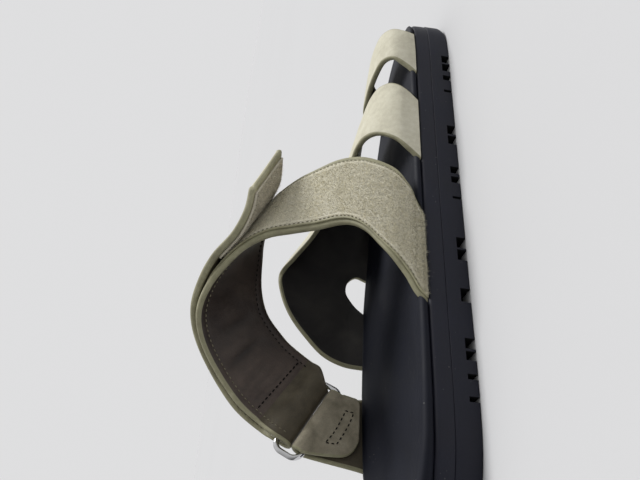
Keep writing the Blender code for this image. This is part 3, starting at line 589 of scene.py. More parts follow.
def fleck(tree, share, colour, value, greys):
    """A colour made darker and lighter by a noise, by a share."""
    return mix(tree, share, colour, spread(tree, value, *greys), "OVERLAY")


def own_tone(tree, colour):
    """A colour multiplied by the tone of each point."""
    own = add_node(tree, "ShaderNodeAttribute", attribute_name=TONE).outputs["Color"]
    return mix(tree, 1.0, colour, own, "MULTIPLY")


def edge_distance(tree):
    """Distance from a strap's long edge or from the footbed's rim, in lay units."""
    lay = add_node(tree, "ShaderNodeUVMap", uv_map=LAY).outputs["UV"]
    return add_node(tree, "ShaderNodeSeparateXYZ", {"Vector": lay}).outputs["Y"]


def dress(tree, shader, links, values):
    """Link sockets to a shader's inputs, and set its other inputs to values."""
    for key, socket in links.items():
        tree.links.new(socket, shader.inputs[key])
    for key, value in values.items():
        shader.inputs[key].default_value = value


# Looks of the leathers: three tones, sizes of blotches, mottling and nap and depth of the grain in mm,
# dullness, sheen, and the tone and width in mm of the wrapped edge if there is one
Leather = namedtuple(
    "Leather", "dark base light blotch mottle nap depth roughness sheen band band_mm",
    defaults=(0.0, None, 0.0))
OLIVE = (0.30, 0.285, 0.18)
PANEL_BAND, PANEL_WIDE_BAND = 0.5, 3.4
NUBUCK = Leather(
    (0.50, 0.475, 0.375), (0.56, 0.535, 0.425), (0.605, 0.58, 0.47),
    14.0, 2.6, 0.35, 0.10, 0.92, sheen=0.25)
EDGE = Leather(
    (0.25, 0.235, 0.15), OLIVE, (0.36, 0.34, 0.225),
    9.0, 1.6, 0.3, 0.05, 0.62)
LINING = Leather(
    (0.030, 0.0215, 0.0175), (0.042, 0.0305, 0.0245), (0.056, 0.0415, 0.033),
    16.0, 2.2, 0.5, 0.14, 0.5, band=OLIVE, band_mm=0.5)
SINGLE = Leather(
    (0.062, 0.0510, 0.0320), (0.084, 0.0690, 0.0440), (0.106, 0.089, 0.058),
    12.0, 2.0, 0.45, 0.12, 0.6, band=OLIVE, band_mm=0.4)
# Painted shade: the side panel's lining is the strap lining made darker and greyer, for the shade under the
# strap's arch
SHADED_PANEL_LINING = Leather(
    (0.021, 0.0195, 0.019), (0.030, 0.0275, 0.026), (0.041, 0.0375, 0.034),
    18.0, 2.4, 0.5, 0.09, 0.5, band=OLIVE, band_mm=PANEL_BAND)
# Painted shade: the ring tab's nubuck is the straps' nubuck made darker, for the shade it lies in
SHADED_TAB_NUBUCK = Leather(
    (0.22, 0.197, 0.143), (0.29, 0.26, 0.193), (0.36, 0.324, 0.244),
    9.0, 2.2, 0.4, 0.10, 0.8, sheen=0.15)
BLOTCH_STOPS = (0.32, 0.5, 0.7)
MOTTLE_SHARE, MOTTLE_GREYS = 0.35, (0.36, 0.64)
NAP_SHARE, NAP_GREYS = 0.3, (0.34, 0.66)
SMUDGE_MM, SMUDGE_STOPS = 7.0, [(0.66, 0.0), (0.78, 0.3)]
BAND_FLECK_SHARE = 0.3
BAND_FADES_MM = 0.25
LEATHER_DULLNESS_VARIES = 0.07
NAP_DEPTH_SHARE = 0.6
MOTTLE_BUMP, NAP_BUMP = 0.6, 0.8


def leather_material(name, look, toned=False):
    """Leather with blotches, mottling and fine nap, and a wrapped edge of another tone where it has one."""
    material, tree, shader = new_material(name)
    place = place_of(tree)
    blotch = grain(tree, place, look.blotch, detail=2.0, distortion=0.4)
    mottle = grain(tree, place, look.mottle, detail=4.0, roughness=0.65)
    nap = grain(tree, place, look.nap, detail=2.0)
    colour = ramp(tree, blotch, list(zip(BLOTCH_STOPS, (look.dark, look.base, look.light))))
    colour = fleck(tree, MOTTLE_SHARE, colour, mottle, MOTTLE_GREYS)
    colour = fleck(tree, NAP_SHARE, colour, nap, NAP_GREYS)
    if toned:
        colour = own_tone(tree, colour)
    if look.sheen:
        smudge = ramp(tree, grain(tree, place, SMUDGE_MM, detail=4.0, distortion=0.8), SMUDGE_STOPS)
        colour = mix(tree, smudge, colour, look.dark)
    if look.band:
        ends = (look.band_mm / LAY_UNIT, (look.band_mm + BAND_FADES_MM) / LAY_UNIT)
        inner = ramp(tree, edge_distance(tree), list(zip(ends, (0.0, 1.0))))
        band = fleck(tree, BAND_FLECK_SHARE, look.band, mottle, MOTTLE_GREYS)
        colour = mix(tree, inner, band, colour)
    varies = LEATHER_DULLNESS_VARIES
    dull = spread(tree, mottle, look.roughness - varies, look.roughness + varies)
    relief = bump(tree, mottle, look.depth, MOTTLE_BUMP)
    relief = bump(tree, nap, look.depth * NAP_DEPTH_SHARE, NAP_BUMP, relief)
    dress(tree, shader, {"Base Color": colour, "Roughness": dull, "Normal": relief}, {
        "Sheen Weight": look.sheen,
        "Sheen Roughness": 0.6,
        "Sheen Tint": (*look.light, 1.0),
        "Specular IOR Level": 0.2 if look.sheen else 0.4,
    })
    return material


# The painted highlight along the footbed's rim, and its width in mm
RIM_HIGHLIGHT_TONE = (0.034, 0.035, 0.039)
RIM_HIGHLIGHT_LINE = 1.8
# The line is on the lateral side alone: it tapers off between these places across the sole, in mm
RIM_HIGHLIGHT_TAPERS = (-24.0, -10.0)

# Looks of the rubber and foam: two tones, the tone of the dust, dullness, size of the dust specks as a share
# of their spacing, and depth of the skin in mm
Rubber = namedtuple("Rubber", "dark light dust roughness speck_share depth")
SOLE_DUST = (0.16, 0.16, 0.155)
OUTSOLE_RUBBER = Rubber(
    (0.0068, 0.0076, 0.0150), (0.0106, 0.0118, 0.0225), SOLE_DUST, 0.58, 0.10, 0.06)
# Painted shade: the slots' walls and roofs get a near-black copy of the rubber, with a little dust
SLOT_SHADE_RUBBER = Rubber(
    (0.002, 0.002, 0.0025), (0.0035, 0.0035, 0.004), (0.05, 0.05, 0.05), 0.85, 0.05, 0.05)
MIDSOLE_FOAM = Rubber(
    (0.0073, 0.0080, 0.0155), (0.0111, 0.0122, 0.0230), SOLE_DUST, 0.56, 0.12, 0.05)
FOOTBED_FOAM = Rubber(
    (0.0044, 0.0054, 0.0110), (0.0069, 0.0083, 0.0160), (0.20, 0.20, 0.19), 0.68, 0.12, 0.05)
CLOUD_MM, SKIN_MM, SPECK_MM, DUST_PATCH_MM = 22.0, 0.45, 2.2, 9.0
DUST_PATCH_STOPS = [(0.55, 0.0), (0.68, 1.0)]
RUBBER_DULLNESS_VARIES = 0.06
SKIN_BUMP = 0.7


def rubber_material(name, look, painted_rim_highlight=False):
    """Moulded rubber or foam with a fine skin, faint cloudiness and a few specks of dust, and a painted
    highlight along its rim if it has one."""
    material, tree, shader = new_material(name)
    place = place_of(tree)
    cloud = grain(tree, place, CLOUD_MM, detail=4.0)
    colour = spread(tree, cloud, look.dark, look.light)
    stops = [(look.speck_share * 0.5, 1.0), (look.speck_share, 0.0)]
    specks = ramp(tree, cells(tree, place, SPECK_MM), stops)
    patches = ramp(tree, grain(tree, place, DUST_PATCH_MM, detail=2.0), DUST_PATCH_STOPS)
    dusty = add_node(tree, "ShaderNodeMath", {0: specks, 1: patches}, operation="MULTIPLY").outputs[0]
    colour = mix(tree, dusty, colour, look.dust)
    if painted_rim_highlight:
        # Painted highlight: a lighter line along the footbed's lateral rim
        rim = ramp(tree, edge_distance(tree), [(RIM_HIGHLIGHT_LINE * 0.5 / LAY_UNIT, 1.0), (RIM_HIGHLIGHT_LINE / LAY_UNIT, 0.0)])
        colour = mix(tree, rim, colour, RIM_HIGHLIGHT_TONE)
    varies = RUBBER_DULLNESS_VARIES
    dull = spread(tree, cloud, look.roughness - varies, look.roughness + varies)
    skin = bump(tree, grain(tree, place, SKIN_MM), look.depth, SKIN_BUMP)
    gloss = {"Specular IOR Level": 0.22 if painted_rim_highlight else 0.32}
    dress(tree, shader, {"Base Color": colour, "Roughness": dull, "Normal": skin}, gloss)
    return material


# Looks of the napped faces and the thread: three tones, size of the clumps in mm, and dullness
Fibre = namedtuple("Fibre", "dark base light clump_mm roughness")
PILE_FIBRE = Fibre((0.56, 0.53, 0.42), (0.67, 0.635, 0.51), (0.73, 0.70, 0.575), 0.7, 0.95)
HOOK_FIBRE = Fibre((0.42, 0.385, 0.305), (0.55, 0.51, 0.41), (0.63, 0.595, 0.49), 0.8, 0.9)
LIGHT_THREAD = Fibre((0.15, 0.135, 0.09), (0.21, 0.19, 0.13), (0.27, 0.245, 0.175), 0.5, 0.8)
DARK_THREAD = Fibre((0.006, 0.0055, 0.005), (0.010, 0.009, 0.008), (0.017, 0.015, 0.012), 0.5, 0.8)
FACING_THREAD = Fibre((0.15, 0.138, 0.095), (0.21, 0.193, 0.14), (0.27, 0.25, 0.185), 0.5, 0.85)
CLUMP_STOPS = (0.3, 0.5, 0.7)
FIBRE_PATCH_MM, FIBRE_PATCH_SHARE, FIBRE_PATCH_GREYS = 11.0, 0.25, (0.38, 0.62)
FUZZ_MM, FUZZ_DEPTH, FUZZ_BUMP = 0.2, 0.08, 0.7


def fibre_material(name, look, toned=False):
    """Fibres or thread: tones by clumps, and by each fibre's own tone where it has one."""
    material, tree, shader = new_material(name)
    place = place_of(tree)
    clump = grain(tree, place, look.clump_mm)
    colour = ramp(tree, clump, list(zip(CLUMP_STOPS, (look.dark, look.base, look.light))))
    patch = grain(tree, place, FIBRE_PATCH_MM, detail=2.0)
    colour = fleck(tree, FIBRE_PATCH_SHARE, colour, patch, FIBRE_PATCH_GREYS)
    if toned:
        colour = own_tone(tree, colour)
    fuzz = bump(tree, grain(tree, place, FUZZ_MM), FUZZ_DEPTH, FUZZ_BUMP)
    values = {"Roughness": look.roughness, "Specular IOR Level": 0.15}
    dress(tree, shader, {"Base Color": colour, "Normal": fuzz}, values)
    return material


# Handling haze on the chrome: its size in mm, and its dullness and tones
HAZE_MM = 3.0
HAZE_DULLNESS = (0.05, 0.13)
HAZE_TONES = ((0.70, 0.70, 0.71), (0.62, 0.62, 0.63))


def chrome_material():
    """Polished chrome with faint handling haze."""
    material, tree, shader = new_material("ring_chrome")
    haze = grain(tree, place_of(tree), HAZE_MM, detail=4.0)
    links = {"Roughness": spread(tree, haze, *HAZE_DULLNESS), "Base Color": spread(tree, haze, *HAZE_TONES)}
    dress(tree, shader, links, {"Metallic": 1.0})
    return material


NUBUCK_MATERIAL = leather_material("strap_nubuck", NUBUCK)
EDGE_MATERIAL = leather_material("strap_edge", EDGE)
LINING_MATERIAL = leather_material("strap_lining", LINING, toned=True)
SINGLE_MATERIAL = leather_material("strap_single_leather", SINGLE)
SHADED_PANEL_MATERIAL = leather_material("panel_lining_painted_shade", SHADED_PANEL_LINING)
SHADED_TAB_NUBUCK_MATERIAL = leather_material("ring_tab_nubuck_painted_shade", SHADED_TAB_NUBUCK)
PILE_MATERIAL = fibre_material("pile_ground", PILE_FIBRE)
PILE_FIBRE_MATERIAL = fibre_material("pile_fibre", PILE_FIBRE, toned=True)
HOOK_MATERIAL = fibre_material("hook_ground", HOOK_FIBRE)
HOOK_FIBRE_MATERIAL = fibre_material("hook_fibre", HOOK_FIBRE, toned=True)
LIGHT_THREAD_MATERIAL = fibre_material("light_thread", LIGHT_THREAD)
DARK_THREAD_MATERIAL = fibre_material("dark_thread", DARK_THREAD)
FACING_THREAD_MATERIAL = fibre_material("facing_thread", FACING_THREAD)


# Pieces

def add_piece(name, verts, faces, materials, slots=None, lay=None, sharp_deg=None):
    """A mesh object from points in mm in the sole frame."""
    mesh = bpy.data.meshes.new(name)
    mesh.from_pydata((np.asarray(verts) + SHIFT) * MM, [], faces)
    for material in materials:
        mesh.materials.append(material)
    if slots is not None:
        mesh.polygons.foreach_set("material_index", np.asarray(slots, np.int32))
    if lay is not None:
        corners = np.empty(len(mesh.loops), np.int32)
        mesh.loops.foreach_get("vertex_index", corners)
        layer = mesh.uv_layers.new(name=LAY)
        layer.data.foreach_set("uv", np.asarray(lay, np.float32)[corners].ravel())
    mesh.shade_smooth()
    if sharp_deg:
        mesh.set_sharp_from_angle(angle=math.radians(sharp_deg))
    mesh.validate()
    thing = bpy.data.objects.new(name, mesh)
    bpy.context.scene.collection.objects.link(thing)
    return thing


def add_tones(thing, tones):
    """Give each point of a piece a tone of its own."""
    layer = thing.data.color_attributes.new(TONE, "FLOAT_COLOR", "POINT")
    layer.data.foreach_set("color", tones.ravel())


def turned_outward(thing):
    """A piece with its faces turned outward."""
    bm = bmesh.new()
    bm.from_mesh(thing.data)
    bmesh.ops.recalc_face_normals(bm, faces=bm.faces)
    if bm.calc_volume(signed=True) < 0:
        bmesh.ops.reverse_faces(bm, faces=bm.faces)
    bm.to_mesh(thing.data)
    bm.free()
    return thing


def add_cutter(name, verts, faces, material):
    """A closed shape to cut out of a piece, hidden in renders until then."""
    cutter = turned_outward(add_piece(name, verts, faces, [material]))
    cutter.hide_render = True
    return cutter


def cut_away(thing, cutters):
    """Cut the cutters out of a piece for good, and remove them."""
    for cutter in cutters:
        modifier = thing.modifiers.new("cut", "BOOLEAN")
        modifier.operation = "DIFFERENCE"
        modifier.solver = "EXACT"
        modifier.object = cutter
    bpy.context.view_layer.update()
    shown = thing.evaluated_get(bpy.context.evaluated_depsgraph_get())
    mesh = bpy.data.meshes.new_from_object(shown)
    thing.modifiers.clear()
    thing.data = mesh
    for cutter in cutters:
        bpy.data.objects.remove(cutter, do_unlink=True)


def add_detail(thing):
    """A piece that rides the sandal's only body."""
    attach(thing, "root")


def stand_for(thing, node):
    """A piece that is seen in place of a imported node."""
    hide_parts(node)
    add_detail(thing)


def bridge_faces(rings, count):
    """Quads between rings of count points each, closed round."""
    faces = []
    for ring in range(rings - 1):
        for index in range(count):
            after = (index + 1) % count
            low, high = ring * count, (ring + 1) * count
            faces.append((low + index, low + after, high + after, high + index))
    return faces


def cap_faces(start, count):
    """Faces that close an outline ring from its medial to its lateral half."""
    faces = []
    for index in range(count // 2):
        corners = [index, index + 1, count - index - 1, -index % count]
        faces.append([start + corner for corner in dict.fromkeys(corners)])
    return faces


# Sole pieces, whose edges are sharp where they turn by more than these angles
SOLE_SHARP_DEG = 40
FOOTBED_SHARP_DEG = 50


def sole_layer(name, levels, spring, material):
    """A layer of the sole, built up from its levels."""
    rings = []
    for level in levels:
        flat = outline_ring(level.inset)
        rise = toe_spring(flat[:, 1]) * (1 - level.z / levels[-1].z) if spring else np.zeros(len(flat))
        rings.append(raked(flat, level.z + rise))
    count = len(rings[0])
    faces = bridge_faces(len(rings), count) + cap_faces(0, count)
    faces += cap_faces((len(rings) - 1) * count, count)
    return turned_outward(add_piece(name, np.vstack(rings), faces, [material], sharp_deg=SOLE_SHARP_DEG))


def box_cutter(name, boxes, material):
    """Boxes given by their low and high corners, as one cutter."""
    verts, faces = [], []
    for low, high in boxes:
        start = len(verts)
        verts += [(x, y, z) for x in (low[0], high[0]) for y in (low[1], high[1]) for z in (low[2], high[2])]
        for corners in ((0, 1, 3, 2), (4, 6, 7, 5), (0, 4, 5, 1), (2, 3, 7, 6), (0, 2, 6, 4), (1, 5, 7, 3)):
            faces.append([start + corner for corner in corners])
    return add_cutter(name, verts, faces, material)


def paint_slot_shade(mesh):
    """Give the walls and roofs of the slots, and the tread below, a darker rubber as painted shade."""
    mesh.materials.append(rubber_material("outsole_slots_painted_shade", SLOT_SHADE_RUBBER))
    edge = np.vstack([HALVES[MEDIAL], HALVES[LATERAL]])
    slots = []
    for face in mesh.polygons:
        x, y, z = np.array(face.center) / MM - SHIFT
        beside_edge = np.hypot(edge[:, 0] - x, edge[:, 1] - y).min() < SLOT_WALL
        slots.append(0 if beside_edge or z > SLOT_HEIGHT + GAP else 1)
    mesh.polygons.foreach_set("material_index", np.array(slots, np.int32))


def outsole_piece():
    """The outsole with the slots between its lugs and shallow grooves across its bottom."""
    material = rubber_material("outsole_rubber", OUTSOLE_RUBBER)
    outsole = sole_layer("outsole_dressed", OUTSOLE_LEVELS, True, material)
    slots, grooves = [], []
    for row in SLOTS:
        middle = (row.y_back + row.y_front) / 2
        medial = edge_point(MEDIAL, middle, 0.0, 0.0)[0]
        lateral = edge_point(LATERAL, middle, 0.0, 0.0)[0]
        low, high = -SLOT_CUT_BELOW, SLOT_HEIGHT
        slots.append(((medial - row.reach, row.y_back, low), (medial + SLOT_CUT_BEYOND, row.y_front, high)))
        slots.append(((lateral - SLOT_CUT_BEYOND, row.y_back, low), (lateral + row.reach, row.y_front, high)))
        back, front = row.y_back + GROOVE_NARROWER, row.y_front - GROOVE_NARROWER
        if front - back > GROOVE_NARROWEST:
            depth = GROOVE_DEPTH + toe_spring(front)
            grooves.append(((lateral + row.reach / 2, back, low), (medial - row.reach / 2, front, depth)))
    cut_away(outsole, [box_cutter("slots", slots, material)])
    cut_away(outsole, [box_cutter("grooves", grooves, material)])
    outsole.data.set_sharp_from_angle(angle=math.radians(SOLE_SHARP_DEG))
    paint_slot_shade(outsole.data)
    stand_for(outsole, "outsole")


def midsole_piece():
    """The midsole, a plain layer between outsole and footbed."""
    material = rubber_material("midsole_foam", MIDSOLE_FOAM)
    midsole = sole_layer("midsole_dressed", MIDSOLE_LEVELS, False, material)
    stand_for(midsole, "midsole")


def footbed_piece(cutters):
    """The footbed: a rounded edge up to its rim, then a surface that dips inside the rim."""
    rim = rim_height(outline_ring(0.0))
    edge = smooth([(row.inset, row.share) for row in FOOTBED_EDGE], FOOTBED_EDGE_PER_SPAN)
    rings = [raked(outline_ring(inset), FOOT_Z + share * (rim - FOOT_Z)) for inset, share in edge]
    count = len(rings[0])
    half = count // 2
    verts = list(np.vstack(rings))
    highest = max(FOOTBED_EDGE, key=lambda row: row.share).inset
    from_rim = [abs(inset - highest) for inset, share in edge for _ in range(count)]
    faces = bridge_faces(len(rings), count) + cap_faces(0, count)
    top = (len(rings) - 1) * count
    inner = rings[-1]
    shares = np.linspace(0.0, 1.0, FOOTBED_ACROSS + 1)[1:-1]
    lines = [[top]]
    for index in range(1, half):
        start, end = inner[index], inner[count - index]
        width = np.linalg.norm(end - start)
        line = [top + index]
        for share in shares:
            point = start + (end - start) * share
            dip = min(min(share, 1 - share) * width / FOOTBED_DIP_REACH, 1.0)
            point[2] += (FOOTBED_Z - point[2]) * dip * dip * (3 - 2 * dip)
            line.append(len(verts))
            verts.append(point)
            from_rim.append(edge[-1][0] - highest + min(share, 1 - share) * width)
        lines.append(line + [top + count - index])
    lines.append([top + half])
    for line, after in zip(lines, lines[1:]):
        for step in range(max(len(line), len(after)) - 1):
            corners = [
                line[min(step, len(line) - 1)],
                after[min(step, len(after) - 1)],
                after[min(step + 1, len(after) - 1)],
                line[min(step + 1, len(line) - 1)],
            ]
            faces.append(list(dict.fromkeys(corners)))
    material = rubber_material("footbed_foam", FOOTBED_FOAM, painted_rim_highlight=True)
    # Distance from the rim for the painted highlight, which tapers off toward the medial side
    rim_highlight_lay = np.array(from_rim) + np.interp(np.array(verts)[:, 0], RIM_HIGHLIGHT_TAPERS, (0.0, RIM_HIGHLIGHT_LINE))
    lay = np.stack([np.zeros(len(verts)), rim_highlight_lay / LAY_UNIT], axis=1)
    footbed = add_piece("footbed_dressed", verts, faces, [material], lay=lay, sharp_deg=FOOTBED_SHARP_DEG)
    cut_away(turned_outward(footbed), cutters)
    footbed.data.set_sharp_from_angle(angle=math.radians(FOOTBED_SHARP_DEG))
    stand_for(footbed, "footbed")


# Sheets and relief of the soft pieces

# A strap's middle face: its points, its normals, its thickness, and how each point lies along and across it
Sheet = namedtuple("Sheet", "mid normals depth along width share edge per_span")
END_STEPS = 7
# Stations nearer to a rounded end than this share of its corner are redrawn, and how thin its edge is drawn
END_REDRAWN = 1.02
END_THINNEST = 0.97


def lay_out(mid, normals, depth, per_span):
    """The sheet of a strap's middle face."""
    along = reach_of(mid[:, mid.shape[1] // 2])
    width = np.linalg.norm(np.diff(mid, axis=1), axis=2).sum(axis=1)
    share = np.tile(np.linspace(0.0, 1.0, mid.shape[1]), (len(mid), 1))
    edge = np.minimum(share, 1 - share) * width[:, None]
    return Sheet(mid, normals, np.asarray(depth, float), along, width, share, edge, per_span)


def round_end(sheet, corner):
    """A sheet whose last stations are redrawn so that it ends in a rounded edge with rounded corners."""
    spacing = np.linalg.norm(np.diff(sheet.mid, axis=0), axis=2).mean(axis=1)
    reach = np.concatenate([np.cumsum(spacing[::-1])[::-1], [0.0]])
    radius = END_ROUND_SHARE * sheet.depth[-1]
    angles = np.linspace(0.0, math.pi / 2, END_STEPS)
    near = np.concatenate([np.linspace(corner, radius, END_STEPS)[:-1], radius * (1 - np.sin(angles))])
    kept = reach > corner * END_REDRAWN
    places = np.concatenate([reach[kept], near])

    def read(values):
        flat = read_line(values.reshape(len(values), -1), -places, -reach)
        return flat.reshape((len(places),) + values.shape[1:])

    short = np.clip(corner - places, 0.0, corner)
    inset = corner - np.sqrt(corner**2 - short**2)
    thin = np.clip(radius - places, 0.0, radius * END_THINNEST) / radius
    depth = read(sheet.depth[:, None])[:, 0] - 2 * radius * (1 - np.sqrt(1 - thin**2))
    mid = widened(read(sheet.mid), -inset)
    return lay_out(mid, unit(read(sheet.normals)), depth, sheet.per_span)


def waves(points, size_mm, offset=0.0):
    """Smooth noise at points, with features about size_mm across."""
    flat = points.reshape(-1, 3) / size_mm + offset
    return np.array([noise.noise(Vector(point)) for point in flat]).reshape(points.shape[:-1])


# A swell of a soft face: its height and size in mm, and where its noise is read
Swell = namedtuple("Swell", "height size offset", defaults=(0.0,))
FIXED_STRAP_SWELLS = [Swell(0.1, 16.0), Swell(0.06, 5.0, 3.0)]
INSTEP_OUTER_SWELLS = [Swell(0.08, 14.0)]
INSTEP_INNER_SWELLS = [Swell(0.12, 12.0, 5.0)]
RING_TAB_SWELLS = [Swell(0.08, 8.0)]
PILE_SWELLS = [Swell(0.08, 0.9), Swell(0.08, 2.6, 9.0)]
HOOK_SWELLS = [Swell(0.2, 0.9)]


def swell_relief(sheet, swells):
    """Gentle rises and hollows of a face."""
    return sum(swell.height * waves(sheet.mid, swell.size, swell.offset) for swell in swells)


# The trough that a row of stitches presses into a face: distance from the edge, depth and half width in mm
Groove = namedtuple("Groove", "inset depth half_width")
LINING_GROOVE = Groove(3.4, 0.25, 0.5)
FACING_GROOVE = Groove(1.1, 0.3, 0.45)
HOOK_GROOVE = Groove(1.6, 0.25, 0.5)


def groove_relief(sheet, groove):
    return -groove.depth * np.exp(-(((sheet.edge - groove.inset) / groove.half_width) ** 2))


# Leather turned in over the edge: its reach on the inner face, the step where it ends, and how soft that is
WRAP_BAND, WRAP_STEP, WRAP_FADES_OVER = 2.6, 0.2, 0.5


def wrap_relief(sheet):
    return WRAP_STEP * (1 - np.clip((sheet.edge - WRAP_BAND) / WRAP_FADES_OVER, 0.0, 1.0))


# A crease on a strap's face, from one place to another, given by section and by share across
Crease = namedtuple("Crease", "section across to_section to_across half_width depth")
CREASE_END = 0.02
TOE_CREASES = [
    Crease(4.2, 0.1, 4.9, 0.95, 2.4, 0.25),
    Crease(6.4, 0.2, 6.0, 0.9, 2.0, 0.2),
]
VAMP_CREASES = [
    Crease(3.6, 0.25, 4.4, 0.9, 3.0, 0.3),
    Crease(4.6, 0.1, 4.9, 0.75, 2.2, 0.22),
    Crease(8.0, 0.35, 10.5, 0.75, 4.0, 0.35),
    Crease(12.0, 0.15, 13.5, 0.45, 3.0, 0.25),
]
INSTEP_CREASES = [
    Crease(16.35, 0.12, 15.8, 0.75, 1.8, 0.95),
    Crease(16.7, 0.12, 16.45, 0.62, 0.9, -0.45),
    Crease(16.95, 0.08, 16.75, 0.55, 0.7, 0.45),
    Crease(17.15, 0.1, 17.0, 0.7, 0.7, 0.4),
    Crease(17.35, 0.1, 17.3, 0.5, 0.6, 0.4),
    Crease(17.5, 0.25, 17.35, 0.8, 0.6, 0.35),
    Crease(17.88, 0.02, 17.88, 0.98, 0.5, 0.6),
    Crease(15.2, 0.3, 14.9, 0.8, 2.6, 0.7),
    Crease(13.2, 0.2, 14.6, 0.7, 3.0, 0.35),
    Crease(11.2, 0.3, 12.2, 0.85, 3.2, 0.3),
    Crease(18.5, 0.2, 20.0, 0.5, 1.6, 0.2),
]
RING_TAB_CREASES = [
    Crease(9.4, 0.3, 10.6, 0.55, 1.6, 0.25),
    Crease(9.8, 0.7, 11.0, 0.6, 1.6, 0.2),
]


def crease_relief(sheet, creases):
    """Soft troughs, or ridges where the depth is negative, along the creases."""
    relief = np.zeros(sheet.share.shape)
    numbers = np.arange(len(sheet.along))
    along = np.broadcast_to(sheet.along[:, None], sheet.share.shape)
    place = np.stack([along, sheet.share * sheet.width[:, None]], axis=-1)
    for crease in creases:
        ends = []
        for section, across in ((crease.section, crease.across), (crease.to_section, crease.to_across)):
            station = section * sheet.per_span
            width = np.interp(station, numbers, sheet.width)
            ends.append(np.array([np.interp(station, numbers, sheet.along), across * width]))
        line = ends[1] - ends[0]
        share = np.clip(((place - ends[0]) @ line) / (line @ line), 0.0, 1.0)
        distance = np.linalg.norm(place - ends[0] - share[..., None] * line, axis=-1)
        fade = np.sin(np.pi * np.clip(share, CREASE_END, 1 - CREASE_END)) ** 0.5
        relief -= crease.depth * fade * np.exp(-((distance / crease.half_width) ** 2))
    return relief


# Straps

# Faces of a strap in the order in which they lie round it, and how far from its edges relief fades, in mm
OUTER, FRONT, INNER, REAR = range(4)
RELIEF_FADES_OVER = 1.0
# A finished strap: its object, its outer and inner faces as drawn, and its sheet
Strap = namedtuple("Strap", "thing outer inner sheet")


def edge_arc(sheet, trimmed, radius, edge, beside):
    """Points round a long edge at each station, from the outer to the inner face."""
    normal = sheet.normals[:, edge]
    away = sheet.mid[:, edge] - sheet.mid[:, beside]
    away = unit(away - (away * normal).sum(axis=1)[:, None] * normal)
    base = trimmed[:, edge]
    straight = sheet.depth / 2 - radius
    angles = np.linspace(0.0, math.pi / 2, EDGE_STEPS)
    arc = []
    for angle in angles[1:]:
        lift = straight + radius * math.cos(angle)
        arc.append(base + normal * lift[:, None] + away * (radius * math.sin(angle))[:, None])
    for angle in angles[:-1]:
        lift = -straight - radius * math.sin(angle)
        arc.append(base + normal * lift[:, None] + away * (radius * math.cos(angle))[:, None])
    return np.stack(arc, axis=1)


def end_faces(start, samples, arc_count):
    """Faces that close one end of a strap, from its rear to its front edge."""
    count = 2 * (samples + arc_count)
    half = arc_count // 2
    faces = []
    for index in range(count // 2 - 1):
        low, high = (index - half) % count, (index + 1 - half) % count
        far_high = (2 * samples - 2 + arc_count - index + half) % count
        corners = list(dict.fromkeys([low, high, far_high, (far_high + 1) % count]))
        if len(corners) > 2:
            faces.append([start + corner for corner in corners])
    return faces


def strap_piece(
        name, sheet, materials, slot_of, outer_relief=0.0, inner_relief=0.0, round_share=EDGE_ROUND_SHARE,
        inner_lay=None, border=0, inner_painted_light=1.0):
    """A closed strip with rounded long edges. slot_of gives the material of a station's outer face, its front
    edge, its inner face and its rear edge. inner_lay is the distance of the inner face's points from a
    wrapped edge, border the number of columns of the outer face that go with its edges, and
    inner_painted_light the tone of the inner face, which carries painted shade and painted sheen."""
    stations, samples = sheet.share.shape
    half = sheet.depth[:, None, None] / 2
    radius = round_share * sheet.depth
    trimmed = widened(sheet.mid, -radius)
    fade = np.clip(sheet.edge / RELIEF_FADES_OVER, 0.0, 1.0)
    outer = trimmed + sheet.normals * (half + (outer_relief * fade)[..., None])
    inner = trimmed - sheet.normals * (half + (inner_relief * fade)[..., None])
    front = edge_arc(sheet, trimmed, radius, -1, -2)
    rear = edge_arc(sheet, trimmed, radius, 0, 1)
    rings = np.concatenate([outer, front, inner[:, ::-1], rear[:, ::-1]], axis=1)
    count = rings.shape[1]
    arc_count = front.shape[1]
    faces = bridge_faces(stations, count)
    kinds = np.repeat([OUTER, FRONT, INNER, REAR], [samples - 1, arc_count + 1] * 2)
    kinds[:border] = REAR
    kinds[samples - 1 - border:samples - 1] = FRONT
    slots = [slot for station in range(stations - 1) for slot in np.array(slot_of(station))[kinds]]
    for station in (0, stations - 1):
        closing = end_faces(station * count, samples, arc_count)
        faces += closing
        slots += [slot_of(min(station, stations - 2))[REAR]] * len(closing)
    inside = slice(samples + arc_count, 2 * samples + arc_count)
    face_edge = np.minimum(sheet.share, 1 - sheet.share) * (sheet.width - 2 * radius)[:, None]
    inner_edge = face_edge if inner_lay is None else inner_lay
    lay = np.zeros((stations, count, 2))
    lay[:, :, 0] = sheet.along[:, None] / LAY_UNIT
    lay[:, :samples, 1] = face_edge / LAY_UNIT
    lay[:, inside, 1] = inner_edge[:, ::-1] / LAY_UNIT
    tones = np.ones((stations, count, 4))
    # Painted light: the inner face's tone carries any painted shade and sheen that a strap is given
    tones[:, inside, :3] = np.broadcast_to(inner_painted_light, sheet.share.shape)[:, ::-1, None]
    thing = add_piece(name, rings.reshape(-1, 3), faces, materials, slots, lay.reshape(-1, 2))
    add_tones(thing, tones)
    return Strap(turned_outward(thing), outer, inner, sheet)


